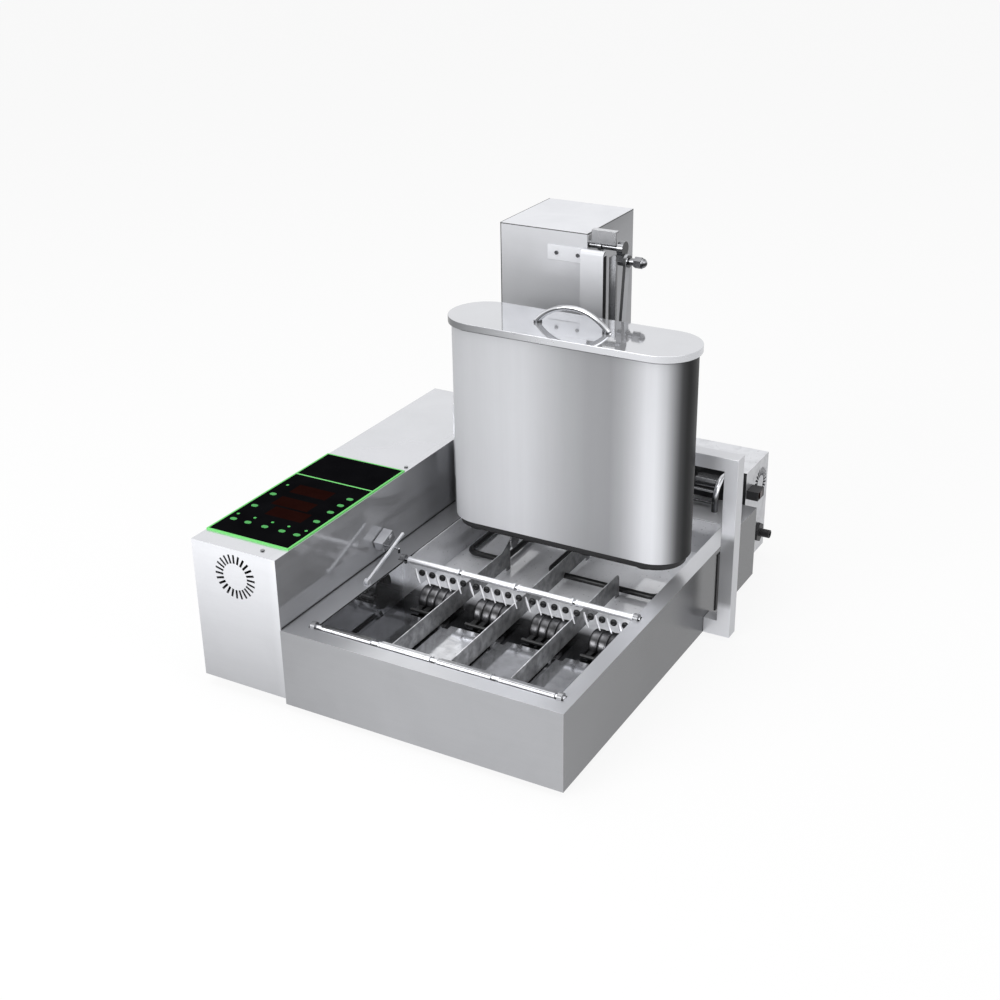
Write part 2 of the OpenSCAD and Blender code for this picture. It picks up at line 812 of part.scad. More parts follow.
/* Gate */
gate_sheet = 2;
gate_left = 4.6;
gate_x0 = tank_x0 + gate_left;
gate_x1 = tank_x1 + gate_reach;
gate_y0 = front_y + gate_y;
gate_y1 = gate_y0 + gate_d;
gate_z1 = feet_h + gate_h;
gate_cx = (gate_x0 + gate_x1) / 2;
foot_tab = 22.2;
module gate_outline() {
    translate([gate_x0, gate_z1 - gate_bar]) square([gate_x1 - gate_x0, gate_bar]);
    translate([gate_x0, rim_z]) square([gate_bar, gate_z1 - rim_z]);
    translate([gate_x1 - gate_bar, feet_h]) square([gate_bar, gate_z1 - feet_h]);
    translate([tank_x1, feet_h]) square([gate_x1 - tank_x1, foot_tab]);
}

module gate_frame() {
    color(steel) difference() {
        translate([0, gate_y1, 0]) rotate([90, 0, 0]) linear_extrude(gate_d) gate_outline();
        block([gate_x0 + gate_sheet, gate_y0 + gate_sheet, gate_z1 - gate_bar + gate_sheet],
            [gate_x1 - gate_sheet, gate_y1 + over, gate_z1 - gate_sheet]);
        block([gate_x0 + gate_sheet, gate_y0 + gate_sheet, rim_z + gate_sheet],
            [gate_x0 + gate_bar - gate_sheet, gate_y1 + over, gate_z1 - gate_sheet]);
        block([gate_x1 - gate_bar + gate_sheet, gate_y0 + gate_sheet, feet_h + gate_sheet],
            [gate_x1 - gate_sheet, gate_y1 + over, gate_z1 - gate_sheet]);
    }
}

/* Rear box */
rear_z1 = box_z0 + rear_h;
rear_y1 = tank_y1 + rear_d;
gland_y_share = 0.66;
gland_z_share = 0.216;
gland_y = tank_y1 + rear_d * gland_y_share;
gland_z = box_z0 + rear_h * gland_z_share;
gland_r = 8;
module rear_box_cover() {
    color(steel) difference() {
        block([tank_x0, tank_y1, box_z0], [rear_x1, rear_y1, rear_z1]);
        block([tank_x0 + sheet, tank_y1 + sheet, box_z0 - over],
            [rear_x1 - sheet, rear_y1 - sheet, rear_z1 - sheet]);
        translate([rear_x1, rear_vent_y, rear_vent_z]) rotate([0, 90, 0])
            vent_ring(rear_vent_r, slot_len, slot_w, 4 * sheet);
        rod_x(rear_x1 - sheet - over, rear_x1 + over, gland_y, gland_z, gland_r + fit);
    }
}

// Two guard rails and a terminal block in front of the rear box, standing on the rear rim
rail_x_shares = [0.42, 0.863];
rail_back = 30;
rail_t = 3;
rail_d = 4;
rail_rises = [5, 23];
post_w = 5;
post_x_shares = [0.44, 0.669];
terminal_w = 34;
terminal_d = 18;
terminal_h = 12;
terminal_rise = 25;
module terminal_rails() {
    x0 = tank_x0 + tank_w * rail_x_shares[0];
    x1 = tank_x0 + tank_w * rail_x_shares[1];
    y0 = tank_y1 - rail_back;
    color(steel) {
        union() {
            for (h = rail_rises) {
                block([x0, y0, rim_z + h], [x1, y0 + rail_d, rim_z + h + rail_t]);
            }
            for (s = post_x_shares) {
                block([tank_x0 + tank_w * s, y0, rim_z],
                    [tank_x0 + tank_w * s + post_w, y0 + rail_d, rim_z + rail_rises[1] + rail_t]);
            }
        }
        block([x1 - terminal_w, tank_y1 - terminal_d, rim_z + terminal_rise],
            [x1, tank_y1, rim_z + terminal_rise + terminal_h]);
    }
}

// Conduit from the rear rim, up and back into the rear box
conduit_r = 4.5;
conduit_side = 47.8;
conduit_back = 38.9;
conduit_bend = 28;
conduit_rise = 41;
module conduit() {
    x = tank_x1 - conduit_side;
    y = tank_y1 - conduit_back;
    z1 = rim_z + conduit_rise;
    color(mirror_steel) union() {
        translate([x, y, rim_z]) cylinder(h = conduit_rise - conduit_bend, r = conduit_r);
        translate([x, y + conduit_bend, z1 - conduit_bend]) rotate([90, 0, -90])
            rotate_extrude(angle = 90) translate([conduit_bend, 0]) circle(conduit_r);
        rod_y(x, y + conduit_bend, tank_y1, z1, conduit_r);
    }
}

// Mains switch block on the rear box's right side, with its rocker
switch_out = 17;
switch_d = 24;
switch_h = 13;
switch_front = 3;
switch_y0 = tank_y1 + switch_front;
switch_z0_share = 0.725;
switch_z0 = box_z0 + rear_h * switch_z0_share;
rocker_d = 16;
rocker_h = 9;
rocker_in = 5;
rocker_r = 9.6;
rocker_y = switch_y0 + switch_d / 2;
rocker_z = switch_z0 + switch_h / 2;
rocker_x = rear_x1 + switch_out - rocker_in;
rocker_pin_r = 1;
rocker_bottom_share = 0.5;
module mains_switch() {
    color(black) difference() {
        block([rear_x1, switch_y0, switch_z0],
            [rear_x1 + switch_out, switch_y0 + switch_d, switch_z0 + switch_h]);
        block([rocker_x - rocker_in, rocker_y - rocker_d / 2 - 3 * clear, rocker_z - rocker_h / 2 - clear],
            [rear_x1 + switch_out + over, rocker_y + rocker_d / 2 + 3 * clear,
                rocker_z + rocker_h / 2 + clear]);
        translate([rocker_x, rocker_y, rocker_z - rocker_h / 2 - clear - over])
            cylinder(h = rocker_h + 2 * clear + 2 * over, r = rocker_pin_r + fit);
    }
}

module switch_rocker() {
    half = rocker_d / 2 - clear;
    front = rocker_in + rocker_r - half;
    color([0.75, 0.1, 0.1]) translate([rocker_x, rocker_y, rocker_z]) union() {
        translate([0, 0, -rocker_h / 2 + clear / 2]) linear_extrude(rocker_h - clear)
            polygon([[-rocker_in * rocker_bottom_share, -half * rocker_bottom_share],
                [-rocker_in * rocker_bottom_share, half * rocker_bottom_share],
                [rocker_in, half], [rocker_in, 0], [front, -half]]);
        translate([0, 0, -rocker_h / 2 - over / 2]) cylinder(h = rocker_h + over, r = rocker_pin_r);
    }
}

// Cable gland: thread and nut, dome and the sleeve that the supply cord would leave by
gland_flange_r = 15;
gland_flange_t = 5;
gland_body_len = 15;
gland_out_r = 6;
gland_bore_r = 4;
gland_nut_t = 4;
module cable_gland() {
    color(black) difference() {
        union() {
            rod_x(rear_x1 - sheet - gland_nut_t, rear_x1 + over, gland_y, gland_z, gland_r);
            translate([rear_x1, gland_y, gland_z]) rotate([0, 90, 0])
                cylinder(h = gland_flange_t, r = gland_flange_r, $fn = 6);
            rod_x(rear_x1, rear_x1 + gland_flange_t + gland_body_len, gland_y, gland_z, gland_out_r);
            rod_x(rear_x1 - sheet - gland_nut_t, rear_x1 - sheet - clear,
                gland_y, gland_z, gland_r + gland_nut_t);
        }
        rod_x(rear_x1 - sheet - gland_nut_t - over, rear_x1 + gland_flange_t + gland_body_len + over,
            gland_y, gland_z, gland_bore_r);
    }
}

/* Dosing drive */
tower_x1_side = 42.8;
tower_x1 = gate_cx - tower_x1_side;
tower_x0 = tower_x1 - tower_w;
tower_y0 = gate_y1 + tower_back;
tower_y1 = tower_y0 + tower_d;
tower_z1 = feet_h + tower_top;
deck_t = 3;
deck_z0 = rear_z1;
deck_z1 = deck_z0 + deck_t;
crank_back = 7.2;
crank_drop = 16;
crank_y = tower_y0 + crank_back;
crank_z = tower_z1 - crank_drop;
hub_x0 = tower_x1 + crank_out;
hub_len = 8;
hub_r = 10;
module tower_housing() {
    color(steel) difference() {
        block([tower_x0, tower_y0, deck_z1], [tower_x1, tower_y1, tower_z1]);
        block([tower_x0 + sheet, tower_y0 + sheet, deck_z1 - over],
            [tower_x1 - sheet, tower_y1 - sheet, tower_z1 - sheet]);
        rod_x(tower_x1 - sheet - over, tower_x1 + over, crank_y, crank_z, crank_dia / 2 + clear);
    }
}

// Small round-headed screws of the covers, all alike
screw_r = 2.6;
screw_h = 1.4;
box_screw_shares = [[0.78, -0.055], [0.95, 1.05]];
rear_screw_share = 0.24;
guide_screw_shares = [-0.341, -0.1];
module cover_screw() {
    cylinder(h = screw_h, r = screw_r);
}

module cover_screws() {
    color(dark_steel) {
        for (s = box_screw_shares) {
            p = on_panel(s);
            translate([p[0], p[1], box_z1]) cover_screw();
        }
        for (s = guide_screw_shares) {
            translate([tower_x1 + tower_w * s, tower_y0 - cover_t, crank_z - tab_drop])
                rotate([90, 0, 0]) cover_screw();
        }
        translate([rear_x1 - rear_d * rear_screw_share, tank_y1 + rear_d * rear_screw_share, rear_z1])
            cover_screw();
    }
}

// Bent cover in front of the crank's guide: a tab on the tower and a tray beside it
cover_t = 1.5;
cover_left = 6.5;
cover_right = 27;
cover_x0 = tower_x1 - cover_left;
cover_x1 = tower_x1 + cover_right;
cover_out = 8;
cover_return = 10;
cover_len = 150;
cover_round = 6;
tab_drop = 14.5;
tab_h = 20;
tab_x0_share = 0.445;
cover_drop = 4;
cover_side = 1;
module guide_cover() {
    y0 = tower_y0 - cover_out;
    z1 = crank_z - cover_drop;
    z0 = z1 - cover_len;
    tab_z = crank_z - tab_drop;
    color(mirror_steel) union() {
        block([tower_x1 - tower_w * tab_x0_share, tower_y0 - cover_t, tab_z - tab_h / 2],
            [cover_x0 + cover_t, tower_y0, tab_z + tab_h / 2]);
        block([cover_x0, y0, z0], [cover_x0 + cover_t, tower_y0, z1 - cover_round]);
        block([cover_x1 - cover_t, y0, z0], [cover_x1, y0 + cover_return, z1 - cover_round]);
        block([cover_x0, y0, z0], [cover_x1, y0 + cover_t, z1 - cover_round]);
        plate_x(cover_x0, cover_x1) translate([y0 + cover_round, z1 - cover_round]) intersection() {
            difference() {
                circle(cover_round);
                circle(cover_round - cover_t);
            }
            translate([-cover_round, 0]) square(cover_round);
        }
        block([cover_x0, y0 + cover_round, z1 - cover_t], [cover_x1, tower_y0 - cover_side, z1]);
    }
}

// Guide bar behind the cover, and a guard plate over the shaft
guide_side = 13.4;
guide_x0 = gate_cx - guide_side;
guide_w = 10;
guide_t = 5;
guide_y0 = crank_y - guide_t / 2;
guard_t = 2;
guard_h = 18;
guard_len = 35;
guard_flange = 9;
guard_side = 6;
guide_cut = 5;
module shaft_guard() {
    z0 = crank_z + crank_dia / 2 + 2 * clear;
    y0 = tower_y0;
    color(mirror_steel) union() {
        block([tower_x1 + guard_side, y0, z0],
            [tower_x1 + guard_side + guard_len, y0 + guard_t, z0 + guard_h]);
        block([tower_x1 + guard_side, y0, z0 + guard_h - guard_t],
            [tower_x1 + guard_side + guard_len, y0 + guard_flange, z0 + guard_h]);
        block([tower_x1, y0, z0], [tower_x1 + guard_side + guard_t, y0 + guard_flange, z0 + guard_t]);
        block([tower_x1, y0, z0], [tower_x1 + guard_t, y0 + guard_flange, z0 + guard_flange]);
    }
    color(mirror_steel) translate([0, guide_y0 + guide_t, 0]) rotate([90, 0, 0]) linear_extrude(guide_t)
        polygon([[guide_x0, deck_z1], [guide_x0 + guide_w, deck_z1],
            [guide_x0 + guide_w, crank_z - crank_dia], [guide_x0, crank_z - crank_dia - guide_cut]]);
}

// Gear motor in the tower
dosing_w = 80;
dosing_d = 90;
dosing_h = 150;
dosing_drop = 25;
module dosing_motor() {
    x1 = tower_x1 - sheet;
    z1 = crank_z + dosing_drop / 2;
    y0 = tower_y0 + sheet;
    flange = 12;
    color(dark_steel) difference() {
        union() {
            block([x1 - dosing_w, y0, z1 - dosing_drop * 2], [x1, y0 + dosing_d, z1]);
            translate([x1 - dosing_w / 2, y0 + dosing_d / 2, z1 - dosing_h])
                cylinder(h = dosing_h - dosing_drop, r = dosing_w / 2 - flange);
        }
        rod_x(x1 - dosing_w / 2, x1 + over, crank_y, crank_z, crank_dia / 2 + fit);
    }
}

shaft_collar_r = 6.4;
shaft_collar_t = 5;
shaft_in = 30;
collar_out = 14;
module crank_shaft() {
    color(mirror_steel) union() {
        rod_x(tower_x1 - sheet - shaft_in, hub_x0 + hub_len / 2, crank_y, crank_z, crank_dia / 2);
        rod_x(tower_x1 + collar_out, tower_x1 + collar_out + shaft_collar_t,
            crank_y, crank_z, shaft_collar_r);
    }
}

// Crank: hub and arm, pin bolt, washer and dome nut
arm_r = 7;
bolt_r = 4.8;
rod_t = 4.4;
rod_x0 = hub_x0 + hub_len + clear;
washer_r = 8;
washer_t = 1.5;
thread_len = 8;
nut_r = 7.7;
nut_len = 10;
nut_dome_share = 0.84;
module crank_arm() {
    x0 = hub_x0;
    x1 = hub_x0 + hub_len;
    pz = crank_z - crank_r;
    wx = rod_x0 + rod_t + clear;
    nx = wx + washer_t + thread_len;
    color(mirror_steel) difference() {
        union() {
            rod_x(x0, x1, crank_y, crank_z, hub_r);
            rod_x(x0, x1, crank_y, pz, arm_r);
            block([x0, crank_y - arm_r, pz], [x1, crank_y + arm_r, crank_z]);
            rod_x(x1 - over, wx + thread_len + washer_t, crank_y, pz, bolt_r);
            rod_x(wx, wx + washer_t, crank_y, pz, washer_r);
            translate([nx, crank_y, pz]) rotate([0, 90, 0]) cylinder(h = nut_len, r = nut_r, $fn = 6);
            translate([nx + nut_len, crank_y, pz]) sphere(nut_r * nut_dome_share);
        }
        rod_x(x0 - over, x0 + hub_len / 2, crank_y, crank_z, crank_dia / 2);
    }
}

/* Rocker geometry, shared by the nozzle plate, the rocker and the rod */
hopper_cx = gate_cx;
hopper_cy = gate_y0 - hopper_gap - hopper_d / 2;
hopper_z0 = feet_h + hopper_lift;
nozzle_t = 2;
pivot_front = 3.2;
pivot_drop = 15.1;
pivot_y = gate_y0 - pivot_front;
pivot_z = hopper_z0 - pivot_drop;
rear_arm = 42;
front_arm = 18;
rest_angle = asin(crank_r / rear_arm);
rocker_t = 7;
rocker_pin = 2.5;
rocker_side = 2.4;
rocker_x0 = rod_x0 - rocker_side - rocker_t;
rod_low_y = pivot_y + rear_arm * cos(rest_angle);
rod_low_z = pivot_z - crank_r;

// Rod from the crank pin down to the rocker, behind the gate
rod_w = 13;
rod_eye_r = 9;
module connecting_rod() {
    pz = crank_z - crank_r;
    color(steel) difference() {
        plate_x(rod_x0, rod_x0 + rod_t) {
            translate([crank_y, pz]) circle(rod_eye_r);
            translate([rod_low_y, rod_low_z]) circle(rod_eye_r);
            polygon([[rod_low_y - rod_w / 2, rod_low_z], [rod_low_y + rod_w / 2, rod_low_z],
                [crank_y + rod_w / 2, pz], [crank_y - rod_w / 2, pz]]);
        }
        rod_x(rod_x0 - over, rod_x0 + rod_t + over, crank_y, pz, bolt_r + fit);
        rod_x(rod_x0 - over, rod_x0 + rod_t + over, rod_low_y, rod_low_z, rocker_pin + fit);
    }
}

// Deck: a plate from the gate's top bar to the rear box, under the tower
deck_over = 12;
deck_y1 = tower_y1 + deck_over;
rod_room = 4;
deck_x1 = rod_x0 - rod_room;
module tower_deck() {
    color(steel) union() {
        block([tower_x0, gate_y1, deck_z0], [deck_x1, deck_y1, deck_z1]);
        block([tower_x0, gate_y1, deck_z0], [deck_x1, gate_y1 + deck_t, gate_z1 - gate_sheet]);
    }
}

// Rocker under the hopper: its rear arm takes the rod, its forked front arm the carriage pin
rocker_w = 8;
rocker_eye_r = 6;
fork_len = 4;
module dosing_rocker() {
    x0 = rocker_x0;
    x1 = rocker_x0 + rocker_t;
    color(dark_steel) difference() {
        union() {
            translate([x0, pivot_y, pivot_z]) rotate([-rest_angle, 0, 0]) {
                translate([0, -front_arm - fork_len, -rocker_w / 2])
                    cube([rocker_t, front_arm + fork_len + rear_arm, rocker_w]);
                translate([0, rear_arm, 0]) rotate([0, 90, 0]) cylinder(h = rocker_t, r = rocker_eye_r);
                rotate([0, 90, 0]) cylinder(h = rocker_t, r = rocker_eye_r);
            }
            rod_x(x0 - ear_room - ear_w, x1 + ear_room + ear_w, pivot_y, pivot_z, rocker_pin);
        }
        translate([x0 - over, pivot_y, pivot_z]) rotate([-rest_angle, 0, 0])
            translate([0, -front_arm - fork_len - over, -rocker_pin - clear])
            cube([rocker_t + 2 * over, fork_len + 2 * rocker_pin + over, 2 * (rocker_pin + clear)]);
        rod_x(x0 - over, x1 + over, rod_low_y, rod_low_z, rocker_pin + fit);
    }
}

/* Hopper */
hopper_t = 1.5;
bead = 2.2;
bead_h = 3;
spout_t = 2;
hook_w = 40;
hook_h = 30;
hook_side = 90;
module hopper() {
    z1 = hopper_z0 + hopper_h;
    color(steel) difference() {
        union() {
            translate([hopper_cx, hopper_cy, hopper_z0]) linear_extrude(hopper_h) stadium(hopper_w, hopper_d);
            translate([hopper_cx, hopper_cy, z1 - bead_h]) linear_extrude(bead_h)
                stadium(hopper_w + 2 * bead, hopper_d + 2 * bead);
            for (s = [-1, 1]) {
                block([hopper_cx + s * hook_side - hook_w / 2, hopper_cy, gate_z1 - gate_bar - hook_h],
                    [hopper_cx + s * hook_side + hook_w / 2, gate_y0, gate_z1]);
            }
        }
        translate([hopper_cx, hopper_cy, hopper_z0 + hopper_t]) linear_extrude(hopper_h)
            stadium(hopper_w - 2 * hopper_t, hopper_d - 2 * hopper_t);
        for (i = [0:3]) {
            translate([lane_x(i), hopper_cy, hopper_z0 - over])
                cylinder(h = hopper_t + 2 * over, r = spout_dia / 2 + fit);
        }
    }
}

lid_t = 1.5;
lid_z0 = hopper_z0 + hopper_h + clear;
lid_z1 = lid_z0 + lid_t;
module hopper_lid() {
    w = hopper_w + 2 * lid_over;
    d = hopper_d + 2 * lid_over;
    color(mirror_steel) difference() {
        translate([hopper_cx, hopper_cy, lid_z1 - lip_h]) linear_extrude(lip_h) stadium(w, d);
        translate([hopper_cx, hopper_cy, lid_z1 - lip_h - over]) linear_extrude(lip_h - lid_t + over)
            stadium(w - 2 * lid_t, d - 2 * lid_t);
    }
}

// Arched handle with two feet on the lid
handle_rise = 22;
handle_foot_r = 5.5;
handle_foot_h = 3;
arch_r = (handle_span * handle_span / 4 + handle_rise * handle_rise) / (2 * handle_rise);
arch_half = asin(handle_span / 2 / arch_r);
arch_sweep = arch_half + atan(2 * handle_foot_h / arch_r);
module lid_handle() {
    z0 = lid_z1 + handle_foot_h;
    color(mirror_steel) union() {
        difference() {
            translate([hopper_cx, hopper_cy, z0 + handle_rise - arch_r]) rotate([90, 0, 0])
                rotate([0, 0, 90 - arch_sweep]) rotate_extrude(angle = 2 * arch_sweep)
                translate([arch_r, 0]) circle(handle_dia / 2);
            block([hopper_cx - handle_span, hopper_cy - handle_dia, lid_z1 - 2 * handle_dia],
                [hopper_cx + handle_span, hopper_cy + handle_dia, lid_z1]);
        }
        for (s = [-1, 1]) {
            translate([hopper_cx + s * handle_span / 2, hopper_cy, lid_z1])
                cylinder(h = handle_foot_h, r = handle_foot_r);
        }
    }
}

// Plate under the hopper: four spouts with their cores, and the ears of the rocker
plate_inset = 8;
core_r = 8;
core_h = 3;
core_rod_r = 2.5;
spider_w = 4;
spider_h = 4;
spout_len = 21.6;
ear_w = 3;
ear_len = 10;
ear_room = 1.2;
module nozzle_plate() {
    z1 = hopper_z0;
    z0 = z1 - nozzle_t;
    spout_z0 = z0 - spout_len;
    color(steel) difference() {
        union() {
            difference() {
                union() {
                    translate([hopper_cx, hopper_cy, z0]) linear_extrude(nozzle_t)
                        stadium(hopper_w - 2 * plate_inset, hopper_d - 2 * plate_inset);
                    for (i = [0:3]) {
                        translate([lane_x(i), hopper_cy, spout_z0])
                            cylinder(h = z1 - spout_z0 + hopper_t, r = spout_dia / 2);
                    }
                }
                for (i = [0:3]) {
                    translate([lane_x(i), hopper_cy, spout_z0 - over])
                        cylinder(h = z1 - spout_z0 + hopper_t + 2 * over, r = spout_dia / 2 - spout_t);
                }
            }
            for (i = [0:3]) {
                translate([lane_x(i), hopper_cy, spout_z0]) cylinder(h = core_h, r = core_r);
                translate([lane_x(i), hopper_cy, spout_z0]) cylinder(h = z1 - spout_z0, r = core_rod_r);
                translate([lane_x(i) - spout_dia / 2 + spout_t / 2, hopper_cy - spider_w / 2, z1 - spider_h])
                    cube([spout_dia - spout_t, spider_w, spider_h]);
            }
            for (x = [rocker_x0 - ear_room - ear_w, rocker_x0 + rocker_t + ear_room]) {
                block([x, pivot_y - ear_len, pivot_z], [x + ear_w, pivot_y + ear_len / 2, z1]);
                rod_x(x, x + ear_w, pivot_y, pivot_z, ear_len / 2);
                block([x, hopper_cy + hopper_d / 2 - plate_inset - ear_len * 2, z0],
                    [x + ear_w, pivot_y, z1]);
            }
        }
        rod_x(rocker_x0 - ear_room - ear_w - over, rocker_x0 + rocker_t + ear_room + ear_w + over,
            pivot_y, pivot_z, rocker_pin + fit);
    }
}

// Sleeves on the spouts, joined by a bar behind them
sleeve_t = 2.5;
sleeve_top = 6.1;
sleeve_len = 14;
bar_w = 5;
bar_h = 6;
carriage_pin_y = pivot_y - front_arm * cos(rest_angle);
carriage_pin_z = pivot_z + front_arm * sin(rest_angle);
module sleeve_carriage() {
    z1 = hopper_z0 - sleeve_top;
    r_in = spout_dia / 2 + clear;
    r_out = r_in + sleeve_t;
    y_bar = hopper_cy + r_out - sleeve_t / 2;
    color(dark_steel) difference() {
        union() {
            for (i = [0:3]) {
                translate([lane_x(i), hopper_cy, z1 - sleeve_len]) cylinder(h = sleeve_len, r = r_out);
            }
            block([lane_x(0), y_bar, z1 - bar_h], [lane_x(3), y_bar + bar_w, z1]);
            for (x = [rocker_x0 - ear_room - ear_w, rocker_x0 + rocker_t + ear_room]) {
                block([x, y_bar, carriage_pin_z - rocker_pin * 2],
                    [x + ear_w, carriage_pin_y + rocker_pin * 2, carriage_pin_z + rocker_pin]);
            }
            rod_x(rocker_x0 - ear_room - over, rocker_x0 + rocker_t + ear_room + over,
                carriage_pin_y, carriage_pin_z, rocker_pin);
        }
        for (i = [0:3]) {
            translate([lane_x(i), hopper_cy, z1 - sleeve_len - over])
                cylinder(h = sleeve_len + 2 * over, r = r_in);
        }
    }
}

tank_shell();
oil_pan();
rubber_feet();
left_divider();
plain_dividers();
heater_tubes();
turner_shaft();
turner_tubes();
turner_combs();
shaft_bushes();
crank_block();
crank_pins();
trip_lever();
lever_pivot();
discharge_rod();
discharge_plates();
star_wheel();
control_box_cover();
box_bases();
control_panel();
display_windows();
panel_key(1);  // key_1
panel_key(2);  // key_2
panel_key(3);  // key_3
panel_key(4);  // key_4
panel_key(5);  // key_5
panel_key(6);  // key_6
panel_key(7);  // key_7
panel_key(8);  // key_8
panel_key(9);  // key_9
panel_key(10);  // key_10
panel_key(11);  // key_11
indicator_leds();
circuit_board();
turner_motor();
fan_frames();
control_fan();
gate_frame();
rear_box_cover();
rear_fan();
mains_switch();
switch_rocker();
cable_gland();
terminal_rails();
conduit();
tower_housing();
tower_deck();
cover_screws();
guide_cover();
shaft_guard();
dosing_motor();
crank_shaft();
crank_arm();
connecting_rod();
dosing_rocker();
hopper();
hopper_lid();
lid_handle();
nozzle_plate();
sleeve_carriage();
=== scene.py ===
import math

import bmesh
import bpy
from mathutils import Matrix, Vector


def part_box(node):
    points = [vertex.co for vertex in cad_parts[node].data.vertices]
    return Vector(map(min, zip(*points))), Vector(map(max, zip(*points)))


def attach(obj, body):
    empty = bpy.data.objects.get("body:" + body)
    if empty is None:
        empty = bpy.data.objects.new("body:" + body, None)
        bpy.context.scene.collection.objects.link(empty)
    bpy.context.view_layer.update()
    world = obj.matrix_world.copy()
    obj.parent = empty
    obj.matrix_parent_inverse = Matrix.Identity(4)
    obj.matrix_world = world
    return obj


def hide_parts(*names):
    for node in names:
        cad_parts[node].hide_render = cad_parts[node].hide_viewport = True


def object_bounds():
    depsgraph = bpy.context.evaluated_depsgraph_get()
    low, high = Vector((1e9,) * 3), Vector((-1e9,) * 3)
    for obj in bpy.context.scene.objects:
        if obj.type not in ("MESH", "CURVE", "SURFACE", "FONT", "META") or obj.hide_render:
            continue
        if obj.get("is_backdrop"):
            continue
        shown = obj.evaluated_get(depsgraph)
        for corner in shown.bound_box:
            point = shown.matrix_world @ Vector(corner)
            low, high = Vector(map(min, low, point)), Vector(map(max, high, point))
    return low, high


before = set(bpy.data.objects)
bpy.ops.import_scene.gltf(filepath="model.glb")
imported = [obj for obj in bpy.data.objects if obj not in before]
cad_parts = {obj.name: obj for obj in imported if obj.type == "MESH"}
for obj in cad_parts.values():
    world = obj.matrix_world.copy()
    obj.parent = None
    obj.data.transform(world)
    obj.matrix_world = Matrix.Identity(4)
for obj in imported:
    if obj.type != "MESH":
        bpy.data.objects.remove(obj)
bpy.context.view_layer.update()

# Studio: a pale floor that runs out to a white surround, seen from the front right and above.
# One wide soft lamp stands at the front left, one hangs overhead and one fills from the right.
scene = bpy.context.scene
scene.view_settings.view_transform = "Standard"
focal_length, sensor_width, far_clip = 54.835, 36.0, 40.0
camera_place = Vector((0.88045, -1.59173, 1.04364))
right = Vector((0.87090, 0.49124, -0.01456))
down = Vector((0.19953, -0.38051, -0.90299))
ahead = Vector((-0.44913, 0.78351, -0.42941))
lens = bpy.data.cameras.new("camera")
lens.sensor_width = sensor_width
lens.lens = focal_length
lens.clip_end = far_clip
camera = bpy.data.objects.new("camera", lens)
scene.collection.objects.link(camera)
camera.matrix_world = Matrix((
    (right.x, -down.x, -ahead.x, camera_place.x),
    (right.y, -down.y, -ahead.y, camera_place.y),
    (right.z, -down.z, -ahead.z, camera_place.z),
    (0, 0, 0, 1)))
scene.camera = camera


def put(tree, kind, values=None, **settings):
    """Adds a node; each value is a number, a colour or the output that feeds the socket."""
    node = tree.nodes.new(kind)
    for key, value in settings.items():
        setattr(node, key, value)
    for key, value in (values or {}).items():
        socket = node.inputs[key]
        if isinstance(value, bpy.types.NodeSocket):
            tree.links.new(value, socket)
        else:
            socket.default_value = value
    return node


def maths(tree, operation, *values):
    """A Math node's output; the values go to its sockets in order."""
    return put(tree, "ShaderNodeMath", dict(enumerate(values)), operation=operation).outputs[0]


def blank(name):
    """A new material, its node tree and its Principled shader."""
    made = bpy.data.materials.new(name)
    made.use_nodes = True
    return made, made.node_tree, made.node_tree.nodes["Principled BSDF"]


def sees_white(tree):
    """One for the camera, glossy and transmission rays, which see the white surround."""
    path = put(tree, "ShaderNodeLightPath")
    seen = path.outputs["Is Camera Ray"]
    for ray in ("Is Glossy Ray", "Is Transmission Ray"):
        seen = maths(tree, "MAXIMUM", seen, path.outputs[ray])
    return seen


object_light = 0.55
world = bpy.data.worlds.new("surround")
scene.world = world
world.use_nodes = True
tree = world.node_tree
tree.nodes.clear()
level = put(tree, "ShaderNodeMapRange", {0: sees_white(tree), 3: object_light, 4: 1.0})
back = put(tree, "ShaderNodeBackground", {0: (1, 1, 1, 1), 1: level.outputs[0]})
put(tree, "ShaderNodeOutputWorld", {0: back.outputs[0]})


def soft_lamp(name, place, aim, size, power):
    """A wide rectangular lamp that points from its place to its aim."""
    lamp = bpy.data.lights.new(name, "AREA")
    lamp.shape = "RECTANGLE"
    lamp.size, lamp.size_y = size
    lamp.energy = power
    thing = bpy.data.objects.new(name, lamp)
    scene.collection.objects.link(thing)
    thing.location = place
    thing.rotation_euler = (Vector(aim) - Vector(place)).to_track_quat("-Z", "Y").to_euler()


soft_lamp("lamp_front", (-0.9, -2.6, 1.25), (0, 0, 0.1), (1.8, 1.2), 44)
soft_lamp("lamp_overhead", (-0.2, -0.2, 2.6), (0, 0, 0), (2.2, 2.2), 24)
soft_lamp("lamp_right", (2.2, -0.6, 1.5), (0, 0, 0.1), (1.0, 1.4), 8)

floor_reach, floor_drop, floor_white = 9, 0.0004, 0.88
corners = [(x * floor_reach, y * floor_reach, 0) for x, y in ((-1, -1), (1, -1), (1, 1), (-1, 1))]
floor_mesh = bpy.data.meshes.new("floor")
floor_mesh.from_pydata(corners, [], [(0, 1, 2, 3)])
floor = bpy.data.objects.new("floor", floor_mesh)
scene.collection.objects.link(floor)
floor.location.z = -floor_drop
floor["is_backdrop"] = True
floor_paint, tree, shine = blank("floor_paint")
shine.inputs["Base Color"].default_value = (0.9, 0.9, 0.9, 1)
shine.inputs["Roughness"].default_value = 0.9
shine.inputs["Specular IOR Level"].default_value = 0.1
white = put(tree, "ShaderNodeEmission", {0: (1, 1, 1, 1), 1: 1.0})
share = maths(tree, "MULTIPLY", sees_white(tree), floor_white)
both = put(tree, "ShaderNodeMixShader", {0: share, 1: shine.outputs[0], 2: white.outputs[0]})
tree.links.new(both.outputs[0], tree.nodes["Material Output"].inputs["Surface"])
floor_mesh.materials.append(floor_paint)


